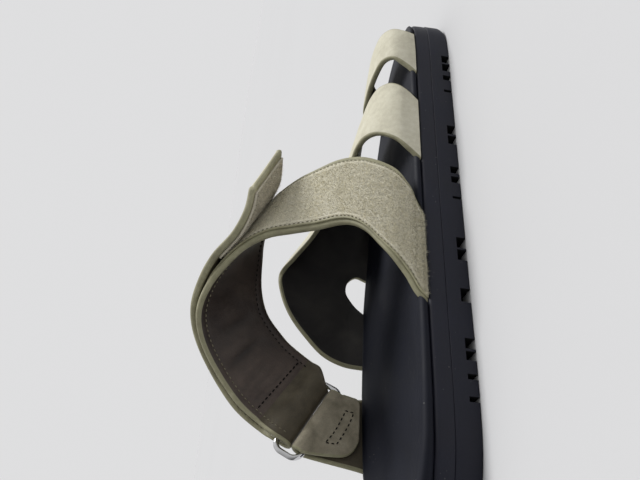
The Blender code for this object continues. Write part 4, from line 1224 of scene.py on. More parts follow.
def foot_cutter(name, sheet, count, from_end=False):
    """The pocket that the foot of a strap needs in the footbed's edge."""
    order = slice(None, None, -1) if from_end else slice(None)
    face = (sheet.mid + sheet.normals * sheet.depth[:, None, None] / 2)[order][:count]
    normals = sheet.normals[order][:count]
    depth = sheet.depth[order][:count]
    face = widened(np.concatenate([face[:1] - POCKET_BELOW, face]), GAP)
    normals = np.concatenate([normals[:1], normals])
    depth = np.concatenate([depth[:1], depth]) + GAP + POCKET_REACH_OUT
    top = face + normals * POCKET_REACH_OUT
    low = top - normals * depth[:, None, None]
    rings = np.concatenate([top, low[:, ::-1]], axis=1)
    samples = face.shape[1]
    around = rings.shape[1]
    faces = bridge_faces(len(rings), around)
    for start in (0, (len(rings) - 1) * around):
        for index in range(samples - 1):
            opposite = 2 * samples - 1 - index
            faces.append([start + corner for corner in (index, index + 1, opposite - 1, opposite)])
    return add_cutter(name, rings.reshape(-1, 3), faces, EDGE_MATERIAL)


def stations_in_footbed(grid):
    """How many stations from the start of a strap reach until it is clear of the footbed's rim."""
    clear = grid[:, :, 2] > rim_height(grid) + POCKET_HEADROOM
    return int(np.argmax(clear.all(axis=1))) + 1


def cutout_cutter(name, scale):
    """A prism through the lateral side panel with the cut-out's outline, scaled along the shoe."""
    low_x, high_x = CUTOUT_X
    outline = smooth([(point.y, point.z) for point in CUTOUT], CUTOUT_PER_SPAN)
    middle = outline.mean(axis=0)
    outline = middle + (outline - middle) * np.array([scale, 1.0])
    count = len(outline)
    verts = [(x, y, z) for x in (high_x, low_x) for y, z in outline]
    faces = bridge_faces(2, count) + [list(range(count)), list(range(count, 2 * count))]
    return add_cutter(name, verts, faces, EDGE_MATERIAL)


# A strap fixed to both edges of the sole. Its wrapped edge is wide up to a section, and its thickness is
# given for each section, two of them at each foot
FixedStrap = namedtuple(
    "FixedStrap", "node rows medial lean lateral lateral_rises thickness mesh creases lining wide_band_until")
FOOT_SECTIONS = 2
VAMP_SECTIONS = PANEL_FROM_ROW + FOOT_SECTIONS
PANEL_SECTIONS = len(VAMP_ROWS) + 2 * FOOT_SECTIONS - VAMP_SECTIONS
VAMP_WIDE_BAND_UNTIL = 9.35
# How much of an outer face's creases shows on the inner face
INNER_CREASE_SHARE = 0.5
TOE_STRAP = FixedStrap(
    "toe_strap", TOE_ROWS, TOE_MEDIAL_FOOT, TOE_LEAN, TOE_LATERAL_FOOT, (STRAP_RISE, STRAP_RISE),
    [TOE_STRAP_THICKNESS] * (len(TOE_ROWS) + 2 * FOOT_SECTIONS), TOE_MESH, TOE_CREASES, LINING_MATERIAL, 0.0)
VAMP_STRAP = FixedStrap(
    "vamp_strap", VAMP_ROWS, VAMP_MEDIAL_FOOT, VAMP_LEAN, VAMP_LATERAL_FOOT,
    (PANEL_RISE_REAR, PANEL_RISE_FRONT),
    [VAMP_THICKNESS] * VAMP_SECTIONS + [PANEL_THICKNESS] * PANEL_SECTIONS,
    VAMP_MESH, VAMP_CREASES, SHADED_PANEL_MATERIAL, VAMP_WIDE_BAND_UNTIL)


def fixed_sheet(made):
    """The sheet of a fixed strap, whose rows give its outer face, and that face."""
    samples, per_span = made.mesh
    leaning = (made.medial[0] + made.lean[0], made.medial[1] + made.lean[1])
    sections = [
        foot_line(MEDIAL, made.medial, STRAP_INSET, (0.0, 0.0), samples),
        foot_line(MEDIAL, leaning, STRAP_INSET, (STRAP_RISE, STRAP_RISE), samples),
        *[ruling(row, samples) for row in made.rows],
        foot_line(LATERAL, made.lateral, STRAP_INSET, made.lateral_rises, samples),
        foot_line(LATERAL, made.lateral, STRAP_INSET, (0.0, 0.0), samples),
    ]
    face = smooth(sections, per_span)
    normals = turned(unit_normals(face), len(face) // 3, UP)
    depth = along_rows(made.thickness, per_span)
    return lay_out(face - normals * depth[:, None, None] / 2, normals, depth, per_span), face


def fixed_strap(made):
    """A fixed strap, with the pockets that its feet need in the footbed."""
    sheet, face = fixed_sheet(made)
    creased = crease_relief(sheet, made.creases)
    outer = swell_relief(sheet, FIXED_STRAP_SWELLS) + creased
    inner = wrap_relief(sheet) - INNER_CREASE_SHARE * creased
    materials = [NUBUCK_MATERIAL, EDGE_MATERIAL, made.lining]
    wide = np.arange(len(sheet.along))[:, None] < made.wide_band_until * sheet.per_span
    from_edge = sheet.edge * np.where(wide, PANEL_BAND / PANEL_WIDE_BAND, 1.0)
    strap = strap_piece(
        made.node + "_dressed", sheet, materials, lambda station: (0, 1, 2, 1), outer, inner,
        inner_lay=from_edge)
    stand_for(strap.thing, made.node)
    pockets = [
        foot_cutter(made.node + "_medial_pocket", sheet, stations_in_footbed(face)),
        foot_cutter(made.node + "_lateral_pocket", sheet, stations_in_footbed(face[::-1]), from_end=True),
    ]
    return strap, pockets


# The instep strap, by section: where its lining ends, its front edge turns dark and a painted sheen begins to
# lighten its lining
LINING_ENDS_AT = 17.9
DARK_FRONT_FROM = 9.5
PAINTED_SHEEN_FROM = 15.2
# How much painted shade in the troughs and painted highlight on the ridges the creases put on the lining,
# with its limits, and how far the single leather lies below it, in mm
PAINTED_CREASE_SHADE, PAINTED_CREASE_LIMITS = 0.55, (0.45, 1.3)
SINGLE_STEP = 0.35
# The tab's edge leather starts this many stations before the hook patch ends
HOOK_BORDER_STATIONS = 2


def instep_sections(samples):
    """Sections of the instep strap's middle face: up the medial side, over, round the ring and back."""
    inset = INSTEP_INSET + INSTEP_THICKNESS / 2
    rear, front = INSTEP_FOOT
    leaning = (rear + INSTEP_LEAN_REAR, front + INSTEP_LEAN_FRONT)
    inner = [
        foot_line(MEDIAL, (rear, front), inset, (0.0, 0.0), samples),
        foot_line(MEDIAL, leaning, inset, (INSTEP_RISE, INSTEP_RISE), samples),
        *[ruling(row, samples) for row in INSTEP_ROWS],
    ]
    loop = RING_BAR_CENTRE + STRAP_SLACK * RING_DOWN - STRAP_INWARD * OUTWARD
    at_ring = loop + STRAP_SHIFT_AT_RING * RING_AXIS
    fold = fold_lines(at_ring, RING_DOWN, STRAP_FOLD_RADIUS, STRAP_WIDTH_AT_RING, samples)
    beside = loop + STRAP_SHIFT_BESIDE_RING * RING_AXIS
    above = loop - STRAP_STRAIGHT_AT_RING * RING_DOWN + STRAP_SHIFT_ABOVE_RING * RING_AXIS
    offset = STRAP_FOLD_RADIUS * OUTWARD
    down, up = [
        [bar_line(above, away, STRAP_WIDTH_ABOVE_RING, samples),
         bar_line(beside, away, STRAP_WIDTH_BESIDE_RING, samples)]
        for away in (-offset, offset)
    ]
    fold = [*down, *fold[1:-1], *up[::-1]]
    highest = int(np.argmax([line[:, 2].mean() for line in inner]))
    normals = turned(unit_normals(np.array(inner + fold[:1])), highest, UP)
    outer = []
    for index, row in enumerate(INSTEP_ROWS, FOOT_SECTIONS):
        if row.lift:
            lift = np.linspace(row.lift, row.front_lift, samples)[:, None]
            outer.append(inner[index] + normals[index] * lift)
    return inner, fold, outer[::-1] + [ruling(row, samples) for row in TAB_ROWS]


def instep_piece():
    """The instep strap, with what the facing and the hook patch need of it."""
    samples, per_span = INSTEP_MESH
    inner, fold, outer = instep_sections(samples)
    mid = smooth(inner + fold + outer, per_span)
    top = int(np.argmax(mid[:len(inner) * per_span, :, 2].mean(axis=1)))
    normals = turned(unit_normals(mid), top, UP)
    thickness = [INSTEP_THICKNESS] * (len(inner) - 1) + [RING_END_THICKNESS] * (len(fold) + 1)
    thickness += [TAB_THICKNESS] * len(outer)
    whole = lay_out(mid, normals, along_rows(thickness, per_span), per_span)
    sheet = round_end(whole, TAB_CORNER_RADIUS)
    fold_bottom = (len(inner) + len(fold) // 2) * per_span
    fold_ends = (len(inner) + len(fold) - 1) * per_span
    hook_ends = len(mid) - HOOK_ENDS_BEFORE - HOOK_BORDER_STATIONS
    faced_ends = (len(inner) - FACING_ENDS_BEFORE) * per_span
    lining_ends = int(LINING_ENDS_AT * per_span)

    def slot_of(station):
        front = 2 if station > DARK_FRONT_FROM * per_span else 1
        if station < lining_ends:
            return (1 if station < faced_ends else 0, front, 2, 1)
        if station < fold_bottom:
            return (0, front, 3, 1)
        if station > hook_ends:
            return (1, 1, 0, 1)
        return (3, 1, 0, 1) if station > fold_ends else (0, 1, 0, 1)

    stations = np.arange(len(sheet.along))[:, None]
    creased = crease_relief(sheet, INSTEP_CREASES)
    lined = wrap_relief(sheet) + groove_relief(sheet, LINING_GROOVE)
    inner_relief = swell_relief(sheet, INSTEP_INNER_SWELLS) + creased
    inner_relief += np.where(stations < lining_ends, lined, -SINGLE_STEP)
    # Painted sheen: the lining is made up to twice as light toward its end
    painted_sheen = np.clip((stations / per_span - PAINTED_SHEEN_FROM) / (LINING_ENDS_AT - PAINTED_SHEEN_FROM), 0.0, 1.0)
    materials = [NUBUCK_MATERIAL, EDGE_MATERIAL, LINING_MATERIAL, SINGLE_MATERIAL]
    # Painted shade in the lining's creases and painted sheen toward its end go into its tone
    strap = strap_piece(
        "instep_strap_dressed", sheet, materials, slot_of,
        swell_relief(sheet, INSTEP_OUTER_SWELLS), inner_relief,
        inner_lay=sheet.share * sheet.width[:, None],
        inner_painted_light=np.clip(1.0 + PAINTED_CREASE_SHADE * creased, *PAINTED_CREASE_LIMITS) * (1.0 + painted_sheen))
    stand_for(strap.thing, "instep_strap")
    pocket = foot_cutter("instep_pocket", whole, stations_in_footbed(mid))
    return strap, whole, len(inner), pocket


# Fibres

def read_grid(grid, stations, shares):
    """Values of a grid at places given by station and by share across."""
    rows, columns = grid.shape[0] - 1, grid.shape[1] - 1
    row = np.clip(np.floor(stations).astype(int), 0, rows - 1)
    place = np.clip(shares * columns, 0, columns)
    column = np.clip(np.floor(place).astype(int), 0, columns - 1)
    down, over = (stations - row)[:, None], (place - column)[:, None]
    near = grid[row, column] * (1 - over) + grid[row, column + 1] * over
    far = grid[row + 1, column] * (1 - over) + grid[row + 1, column + 1] * over
    return near * (1 - down) + far * down


# A growth of fibres: how many, how long with what spread and how wide in mm, how far they lean, the size of
# the clumps in mm, and the seed of what is random in it
Growth = namedtuple("Growth", "count length spread width lean clump seed")
PILE_GROWTH = Growth(95000, 0.48, 0.12, 0.14, 0.5, 0.7, 11)
FRINGE_GROWTH = Growth(2200, 0.9, 0.4, 0.14, 0.8, 0.9, 17)
HOOK_GROWTH = Growth(16000, 0.7, 0.25, 0.16, 0.6, 0.8, 23)
CLUMP_OFFSETS = (0.0, 7.0, 13.0)
CLUMP_LEAN, OWN_LEAN = 0.3, 0.9
CLUMP_LENGTH, TUFT_LENGTH = 0.2, 0.6
SHORTEST_FIBRE = 0.15
FIBRE_ROOT = 0.1
# Numbers that scatter the place of a tuft of fibres into a share of its own, the same in each run
TUFT_MIX = np.array([12.9898, 78.233, 37.719])
TUFT_SPREAD = 43758.5453
# How a fibre's tone varies, its range, and the tones of a fibre's two root corners and its tip, the roots
# darker as painted shade deep in the pile
OWN_TONE, TUFT_TONE, TONE_RANGE = 0.14, 0.55, (0.55, 1.3)
BLADE_SHADE_TONES = np.array([0.84, 0.84, 1.05])
# Where a lighter band runs across the pile, by section, with its tone and half width in stations, and the
# stations at its foot that hang over the sole's edge
LIGHT_BAND_AT, LIGHT_BAND_TONE, LIGHT_BAND_HALF = 7.85, 0.1, 7.0
FRINGE_STATIONS = 12
FRINGE_DROOP = (0.0, 0.0, -0.6)


def fibres(name, face, normals, growth, material, droop=(0.0, 0.0, 0.0), light_band_at=None):
    """Short fibres on a face as one mesh of narrow triangles that lean at random and along droop, lighter
    in a band across the pile round the station light_band_at."""
    source = np.random.default_rng(growth.seed)
    widths = np.linalg.norm(face[:, -1] - face[:, 0], axis=1)
    steps = np.linalg.norm(np.diff(face.mean(axis=1), axis=0), axis=1)
    weight = np.concatenate([[0.0], np.cumsum(steps * (widths[1:] + widths[:-1]) / 2)])
    stations = np.interp(source.random(growth.count) * weight[-1], weight, np.arange(len(face)))
    shares = source.random(growth.count)
    base = read_grid(face, stations, shares)
    normal = unit(read_grid(normals, stations, shares))
    clump = np.stack([waves(base, growth.clump, offset) for offset in CLUMP_OFFSETS], axis=1)
    tuft = np.sin(np.floor(base / growth.clump) @ TUFT_MIX) * TUFT_SPREAD % 1.0 - 0.5
    own = source.normal(size=(growth.count, 3))
    lean = growth.lean * (CLUMP_LEAN * clump + OWN_LEAN * own) + np.array(droop)
    length = growth.length + growth.spread * source.normal(size=growth.count)
    length = np.clip(length * (1.0 + CLUMP_LENGTH * clump[:, 0] + TUFT_LENGTH * tuft), SHORTEST_FIBRE, None)
    tip = base + unit(normal + lean) * length[:, None]
    side = unit(np.cross(tip - base, source.normal(size=(growth.count, 3)))) * growth.width / 2
    root = FIBRE_ROOT * normal
    verts = np.stack([base - side - root, base + side - root, tip], axis=1).reshape(-1, 3)
    faces = np.arange(len(verts)).reshape(-1, 3).tolist()
    thing = add_piece(name, verts, faces, [material])
    tone = 1.0 + OWN_TONE * source.normal(size=growth.count) + TUFT_TONE * tuft
    if light_band_at:
        tone += LIGHT_BAND_TONE * np.exp(-(((stations - light_band_at) / LIGHT_BAND_HALF) ** 2))
    tones = np.ones((growth.count, 3, 4))
    # Painted shade: each fibre is darker at its root than at its tip
    tones[:, :, :3] = np.clip(tone, *TONE_RANGE)[:, None, None] * BLADE_SHADE_TONES[None, :, None]
    add_tones(thing, tones)
    add_detail(thing)


# Layers on the instep strap: rounding of their edges, columns of the facing that are border and how finely it
# is drawn across, where its pile starts from the edge and fades in, the range of its relief, and the margin
# that its fibres keep
LAYER_ROUND_SHARE = 0.4
FACING_BORDER = 2
FACING_ACROSS = 77
PILE_STARTS, PILE_FADES_OVER = 1.3, 0.8
PILE_RELIEF = (-0.25, 0.22)
PILE_MARGIN = 1.2


def layer_on(whole, part, lift, thickness, margin):
    """Middle face and normals of a layer that lies on part of a strap's outer face."""
    normals = whole.normals[part]
    mid = whole.mid[part] + normals * (whole.depth[part, None, None] / 2 + lift + thickness / 2)
    return widened(mid, -margin), normals


def facing_piece(whole, inner_count):
    """The pile facing on the outer face of the instep strap, with its fibres."""
    faced = slice(0, (inner_count - FACING_ENDS_BEFORE) * whole.per_span)
    layer = layer_on(whole, faced, FACING_LIFT, FACING_THICKNESS, FACING_MARGIN)
    count = len(layer[0])
    stations = np.linspace(0, count - 1, 2 * count - 1)
    shares = np.linspace(0.0, 1.0, FACING_ACROSS)
    mid, normals = [
        np.stack([read_grid(grid, np.full(FACING_ACROSS, station), shares) for station in stations])
        for grid in layer
    ]
    sheet = lay_out(mid, unit(normals), np.full(len(stations), FACING_THICKNESS), whole.per_span * 2)
    relief = np.clip(swell_relief(sheet, PILE_SWELLS), *PILE_RELIEF)
    relief *= np.clip((sheet.edge - PILE_STARTS) / PILE_FADES_OVER, 0.0, 1.0)
    facing = strap_piece(
        "loop_facing_dressed", sheet, [PILE_MATERIAL, EDGE_MATERIAL], lambda station: (0, 1, 0, 1),
        relief + groove_relief(sheet, FACING_GROOVE), round_share=LAYER_ROUND_SHARE, border=FACING_BORDER)
    stand_for(facing.thing, "loop_facing")
    fibres(
        "loop_facing_fibres", widened(facing.outer, -PILE_MARGIN), sheet.normals, PILE_GROWTH,
        PILE_FIBRE_MATERIAL, light_band_at=LIGHT_BAND_AT * sheet.per_span)
    foot = slice(0, FRINGE_STATIONS)
    fibres(
        "loop_facing_fringe", facing.outer[foot], sheet.normals[foot], FRINGE_GROWTH, PILE_FIBRE_MATERIAL,
        droop=FRINGE_DROOP)
    return facing


def hook_piece(whole):
    """The hook patch under the free tab, with its stubby fibres."""
    count = len(whole.mid)
    hooked = slice(count - HOOK_SECTIONS * whole.per_span, count - HOOK_ENDS_BEFORE)
    mid, normals = layer_on(whole, hooked, HOOK_LIFT, HOOK_THICKNESS, HOOK_MARGIN)
    sheet = lay_out(mid, normals, np.full(len(mid), HOOK_THICKNESS), whole.per_span)
    relief = swell_relief(sheet, HOOK_SWELLS) + groove_relief(sheet, HOOK_GROOVE)
    patch = strap_piece(
        "hook_patch_dressed", sheet, [HOOK_MATERIAL], lambda station: (0, 0, 0, 0), relief,
        round_share=LAYER_ROUND_SHARE)
    stand_for(patch.thing, "hook_patch")
    fibres("hook_patch_fibres", patch.outer, normals, HOOK_GROWTH, HOOK_FIBRE_MATERIAL)
    return patch


# The ring and its tab
RING_CORNER_STEPS = 14
RING_WIRE_SIDES = 20


def ring_piece():
    """The chrome ring: a closed wire with two long bars, two short ends and round corners."""
    centre = RING_BAR_CENTRE + RING_ACROSS / 2
    spacing = np.linalg.norm(RING_ACROSS)
    across = RING_ACROSS / spacing
    corner_across = RING_INNER_LENGTH / 2 + RING_WIRE_RADIUS - RING_CORNER_RADIUS
    corner_down = spacing / 2 - RING_CORNER_RADIUS
    facing = np.cross(RING_AXIS, across)
    verts = []
    for quarter, (side, end) in enumerate(((1, 1), (-1, 1), (-1, -1), (1, -1))):
        corner = side * corner_across * RING_AXIS + end * corner_down * across
        for step in range(RING_CORNER_STEPS + 1):
            turn = math.pi / 2 * (quarter + step / RING_CORNER_STEPS)
            away = math.cos(turn) * RING_AXIS + math.sin(turn) * across
            point = centre + corner + RING_CORNER_RADIUS * away
            for angle in np.arange(RING_WIRE_SIDES) * 2 * math.pi / RING_WIRE_SIDES:
                verts.append(point + RING_WIRE_RADIUS * (math.cos(angle) * away + math.sin(angle) * facing))
    faces = bridge_faces(len(verts) // RING_WIRE_SIDES, RING_WIRE_SIDES)
    last = len(verts) - RING_WIRE_SIDES
    for index in range(RING_WIRE_SIDES):
        after = (index + 1) % RING_WIRE_SIDES
        faces.append((last + index, last + after, after, index))
    ring = turned_outward(add_piece("ring_dressed", verts, faces, [chrome_material()]))
    stand_for(ring, "ring")


def ring_tab_piece():
    """The folded tab: up from the lateral edge, round the ring's lower bar and down inside as a flap."""
    samples, per_span = RING_TAB_MESH
    inset = STRAP_INSET + RING_END_THICKNESS / 2
    loop = RING_BAR_CENTRE + RING_ACROSS - RING_TAB_SLACK * RING_DOWN + RING_TAB_SHIFT * RING_AXIS
    fold = fold_lines(loop, -RING_DOWN, RING_TAB_FOLD_RADIUS, RING_TAB_WIDTH_AT_RING, samples)[::-1]
    straight = RING_TAB_STRAIGHT_AT_RING * RING_DOWN
    fold = [fold[0] + straight, *fold, fold[-1] + straight]
    feet = []
    for row in RING_TAB_FOOT:
        feet.append(foot_line(LATERAL, (row.rear, row.front), inset, (row.rise, row.rise), samples))
    mid = smooth(feet + fold + [ruling(row, samples) for row in FLAP_ROWS], per_span)
    normals = turned(unit_normals(mid), 0, OUTWARD)
    whole = lay_out(mid, normals, np.full(len(mid), RING_END_THICKNESS), per_span)
    sheet = round_end(whole, FLAP_CORNER_RADIUS)
    relief = swell_relief(sheet, RING_TAB_SWELLS) + crease_relief(sheet, RING_TAB_CREASES)
    materials = [SHADED_TAB_NUBUCK_MATERIAL, EDGE_MATERIAL, SINGLE_MATERIAL]
    tab = strap_piece("ring_tab_dressed", sheet, materials, lambda station: (0, 1, 2, 1), relief)
    stand_for(tab.thing, "ring_tab")
    return tab, foot_cutter("ring_tab_pocket", whole, stations_in_footbed(mid))


# Stitches

# A stitch: length, pitch, width and height in mm
Stitch = namedtuple("Stitch", "length pitch width height")
EDGE_STITCH = Stitch(1.5, 2.5, 0.55, 0.32)
SEAM_STITCH = Stitch(1.9, 2.6, 0.75, 0.4)
FINE_STITCH = Stitch(1.5, 2.2, 0.42, 0.22)
BOX_STITCH = Stitch(1.7, 2.5, 0.6, 0.3)
# A stitch is drawn by rings along it with sides round it. It dives and narrows at its ends, and sinks a
# little into the face
STITCH_RINGS, STITCH_SIDES = 6, 6
STITCH_DIVES, STITCH_NARROWS, STITCH_SINKS = 1.3, 0.96, 0.05
STITCH_LOOKS_AHEAD = 0.3
EDGE_PATH_POINTS, CROSS_PATH_POINTS, PATCH_SIDE_POINTS = 160, 80, 40
# The stitched patch on the flap, by its corners
Corner = namedtuple("Corner", "section across")
FLAP_SEAM = [Corner(9.7, 0.18), Corner(10.45, 0.755), Corner(11.25, 0.74), Corner(10.25, 0.17)]
# Rows on the instep strap: the lining's from a station on, the light one up to a section, the one on the
# folded layer between two sections at an inset in mm, and the cross seam by stations before the lining's end
# and by shares across
LINING_ROWS_FROM = 30
LIGHT_ROW_ENDS_AT = 20
FOLDED_ROW, FOLDED_INSET = (26, 30), 0.2
SEAM_BEFORE_END, SEAM_SPAN = 4, (0.1, 0.9)
# First station of the rows on the facing and the hook patch, and the stations left at their ends
FACING_ROWS_FROM, FACING_ROWS_LEAVE = 20, 2
HOOK_ROWS_FROM, HOOK_ROWS_LEAVE = 2, 3


def stitch_shapes(path, normals, stitch):
    """Verts and faces of one row of stitches along a path."""
    reach = reach_of(path)
    places = np.arange(stitch.pitch / 2, reach[-1], stitch.pitch)
    ahead = read_line(path, places + STITCH_LOOKS_AHEAD, reach)
    behind = read_line(path, places - STITCH_LOOKS_AHEAD, reach)
    normal = unit(read_line(normals, places, reach))
    centre = (ahead + behind) / 2
    along = unit(ahead - behind)
    side = unit(np.cross(normal, along))
    shape = []
    for share in np.linspace(-1.0, 1.0, STITCH_RINGS):
        fat = math.sqrt(max(1 - (STITCH_NARROWS * share) ** 2, 0.0))
        for angle in np.arange(STITCH_SIDES) * 2 * math.pi / STITCH_SIDES:
            rise = stitch.height * (1 - STITCH_DIVES * share * share) + stitch.height * fat * math.sin(angle)
            across = stitch.width / 2 * fat * math.cos(angle)
            shape.append((share * stitch.length / 2, across, rise - STITCH_SINKS))
    shape = np.array(shape)
    verts = centre[:, None] + shape[None, :, :1] * along[:, None] + shape[None, :, 1:2] * side[:, None]
    verts = (verts + shape[None, :, 2:] * normal[:, None]).reshape(-1, 3)
    each = len(shape)
    one = bridge_faces(STITCH_RINGS, STITCH_SIDES)
    one += [list(range(STITCH_SIDES))[::-1], list(range(each - STITCH_SIDES, each))]
    faces = [[each * number + corner for corner in face] for number in range(len(places)) for face in one]
    return verts, faces


def thread_piece(name, rows, material):
    """Rows of stitches as one mesh."""
    verts, faces = [], []
    for path, normals, stitch in rows:
        more, shapes = stitch_shapes(path, normals, stitch)
        faces += [[len(verts) + corner for corner in shape] for shape in shapes]
        verts += list(more)
    add_detail(add_piece(name, verts, faces, [material]))


def on_face(strap, face, stations, shares):
    """A path on a strap's outer or inner face, with the face's normals."""
    sign = 1.0 if face is strap.outer else -1.0
    return read_grid(face, stations, shares), sign * read_grid(strap.sheet.normals, stations, shares)


def edge_path(strap, face, stations, inset_mm, front):
    """A path along a strap's face at a distance from its front or rear edge."""
    places = np.linspace(*stations, EDGE_PATH_POINTS)
    share = inset_mm / np.interp(places, np.arange(len(strap.sheet.width)), strap.sheet.width)
    return on_face(strap, face, places, 1 - share if front else share)


def cross_path(strap, face, station, shares):
    """A path across a strap's face at one station."""
    stations = np.full(CROSS_PATH_POINTS, float(station))
    return on_face(strap, face, stations, np.linspace(*shares, CROSS_PATH_POINTS))


def patch_path(strap, corners):
    """A closed path on a strap's outer face through corners given by section and share across."""
    steps = np.linspace(0.0, 1.0, PATCH_SIDE_POINTS)
    stations, shares = [], []
    for here, there in zip(corners, corners[1:] + corners[:1]):
        stations.append((here.section + (there.section - here.section) * steps) * strap.sheet.per_span)
        shares.append(here.across + (there.across - here.across) * steps)
    return on_face(strap, strap.outer, np.concatenate(stations), np.concatenate(shares))


def stitch_pieces(instep, facing, hook, tab):
    """The stitches, as one piece for each of the three threads."""
    per_span = INSTEP_MESH.per_span
    lining_ends = LINING_ENDS_AT * per_span
    inset = LINING_GROOVE.inset
    light_row = (LINING_ROWS_FROM, LIGHT_ROW_ENDS_AT * per_span)
    folded_row = [section * per_span for section in FOLDED_ROW]
    light_rows = [
        (*edge_path(instep, instep.inner, light_row, inset, False), EDGE_STITCH),
        (*edge_path(instep, instep.outer, folded_row, FOLDED_INSET, False), EDGE_STITCH),
    ]
    dark_rows = [
        (*edge_path(instep, instep.inner, (LINING_ROWS_FROM, lining_ends), inset, True), EDGE_STITCH),
        (*cross_path(instep, instep.inner, lining_ends - SEAM_BEFORE_END, SEAM_SPAN), SEAM_STITCH),
        (*patch_path(tab, FLAP_SEAM), BOX_STITCH),
    ]
    facing_span = (FACING_ROWS_FROM, len(facing.outer) - FACING_ROWS_LEAVE)
    hook_span = (HOOK_ROWS_FROM, len(hook.outer) - HOOK_ROWS_LEAVE)
    facing_rows = [
        (*edge_path(facing, facing.outer, facing_span, FACING_GROOVE.inset, False), FINE_STITCH),
        (*edge_path(facing, facing.outer, facing_span, FACING_GROOVE.inset, True), FINE_STITCH),
        (*edge_path(hook, hook.outer, hook_span, HOOK_GROOVE.inset, True), FINE_STITCH),
        (*edge_path(hook, hook.outer, hook_span, HOOK_GROOVE.inset, False), FINE_STITCH),
    ]
    thread_piece("light_stitches", light_rows, LIGHT_THREAD_MATERIAL)
    thread_piece("dark_stitches", dark_rows, DARK_THREAD_MATERIAL)
    thread_piece("facing_stitches", facing_rows, FACING_THREAD_MATERIAL)


# Floor, light and camera

# Photograph's view: where the camera is in mm, and its right, down and forward directions
CAMERA_AT = np.array([265.968, -171.0, 105.206])
CAMERA_RIGHT = (0.20626478, 0.04180907, -0.97760260)
CAMERA_DOWN = (-0.52095138, -0.84102767, -0.14588393)
CAMERA_FORWARD = (-0.82829011, 0.53937414, -0.15169389)
FOCAL_PIXELS = 660.0
IMAGE_WIDTH = 640.0
SENSOR_MM = 36.0
CAMERA_SEES_FROM, CAMERA_SEES_TO = 0.01, 100.0
# Light: the sun, and a sky that is brighter toward the sun. The camera sees a plain backdrop in its place
SUN_FROM = Vector((-0.06, 0.62, 0.78))
SUN_STRENGTH = 2.65
SUN_ANGLE_DEG = 24.0
SKY_LOW = 0.06
SKY_HIGH = 0.78
SKY_TURNS_AT = -0.6
SKY_COLOUR = (1.0, 1.0, 1.0, 1.0)
BACKDROP = 0.735
BACKDROP_COLOUR = (1.0, 1.0, 1.01, 1.0)
# Floor: its two tones, the size of its clouds in mm, and half its side in metres
FLOOR_ALBEDO = (0.60, 0.60, 0.607)
FLOOR_DARKER = 0.985
FLOOR_CLOUD_MM = 900.0
FLOOR_HALF = 6.0


def set_stage():
    """A plain pale floor."""
    mesh = bpy.data.meshes.new("floor")
    corners = [(x * FLOOR_HALF, y * FLOOR_HALF, 0.0) for x, y in ((-1, -1), (1, -1), (1, 1), (-1, 1))]
    mesh.from_pydata(corners, [], [(0, 1, 2, 3)])
    material, tree, shader = new_material("floor_paper")
    cloud = grain(tree, place_of(tree), FLOOR_CLOUD_MM, detail=2.0)
    colour = spread(tree, cloud, tuple(FLOOR_DARKER * part for part in FLOOR_ALBEDO), FLOOR_ALBEDO)
    dress(tree, shader, {"Base Color": colour}, {"Roughness": 1.0, "Specular IOR Level": 0.0})
    mesh.materials.append(material)
    floor = bpy.data.objects.new("floor", mesh)
    bpy.context.scene.collection.objects.link(floor)


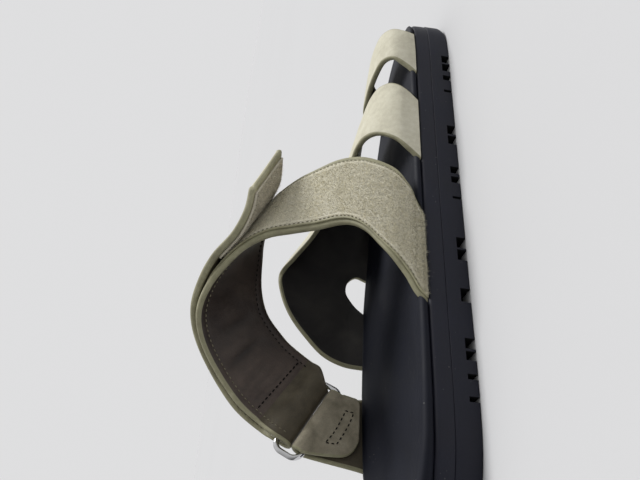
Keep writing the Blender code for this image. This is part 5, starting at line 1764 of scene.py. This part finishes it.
def set_light():
    """A soft sun, and the sky round it."""
    light = bpy.data.lights.new("studio_sun", "SUN")
    light.energy = SUN_STRENGTH
    light.angle = math.radians(SUN_ANGLE_DEG)
    sun = bpy.data.objects.new("studio_sun", light)
    sun.rotation_euler = SUN_FROM.to_track_quat("Z", "Y").to_euler()
    bpy.context.scene.collection.objects.link(sun)
    world = bpy.data.worlds.new("studio")
    bpy.context.scene.world = world
    world.use_nodes = True
    tree = world.node_tree
    tree.nodes.clear()
    seen = add_node(tree, "ShaderNodeLightPath").outputs["Is Camera Ray"]
    toward = add_node(tree, "ShaderNodeTexCoord").outputs["Generated"]
    beside_sun = add_node(
        tree, "ShaderNodeVectorMath", {0: toward, 1: SUN_FROM.normalized()}, operation="DOT_PRODUCT")
    sky = add_node(tree, "ShaderNodeMapRange", {
        "Value": beside_sun.outputs["Value"], "From Min": SKY_TURNS_AT, "From Max": 1.0,
        "To Min": SKY_LOW, "To Max": SKY_HIGH})
    ambient = add_node(
        tree, "ShaderNodeBackground", {"Color": SKY_COLOUR, "Strength": sky.outputs["Result"]})
    backdrop = add_node(tree, "ShaderNodeBackground", {"Color": BACKDROP_COLOUR, "Strength": BACKDROP})
    blend = add_node(tree, "ShaderNodeMixShader", {0: seen, 1: ambient.outputs[0], 2: backdrop.outputs[0]})
    add_node(tree, "ShaderNodeOutputWorld", {"Surface": blend.outputs[0]})
    bpy.context.scene.view_settings.view_transform = "Standard"


def set_camera():
    """The camera at the photograph's viewing angle."""
    lens = bpy.data.cameras.new("photo_camera")
    lens.sensor_width = SENSOR_MM
    lens.sensor_fit = "HORIZONTAL"
    lens.lens = FOCAL_PIXELS * SENSOR_MM / IMAGE_WIDTH
    lens.clip_start, lens.clip_end = CAMERA_SEES_FROM, CAMERA_SEES_TO
    camera = bpy.data.objects.new("photo_camera", lens)
    up = [-part for part in CAMERA_DOWN]
    back = [-part for part in CAMERA_FORWARD]
    axes = Matrix((CAMERA_RIGHT, up, back)).transposed()
    camera.matrix_world = Matrix.Translation(Vector((CAMERA_AT + SHIFT) * MM)) @ axes.to_4x4()
    bpy.context.scene.collection.objects.link(camera)
    bpy.context.scene.camera = camera


def main():
    set_stage()
    set_light()
    set_camera()
    outsole_piece()
    midsole_piece()
    toe_pockets = fixed_strap(TOE_STRAP)[1]
    vamp, vamp_pockets = fixed_strap(VAMP_STRAP)
    cut_away(vamp.thing, [cutout_cutter("panel_cutout", 1.0)])
    cut_away(vamp_pockets[1], [cutout_cutter("footbed_in_cutout", FOOTBED_IN_CUTOUT)])
    instep, whole, inner_count, instep_pocket = instep_piece()
    facing = facing_piece(whole, inner_count)
    hook = hook_piece(whole)
    ring_piece()
    tab, tab_pocket = ring_tab_piece()
    footbed_piece([*toe_pockets, *vamp_pockets, instep_pocket, tab_pocket])
    stitch_pieces(instep, facing, hook, tab)


main()
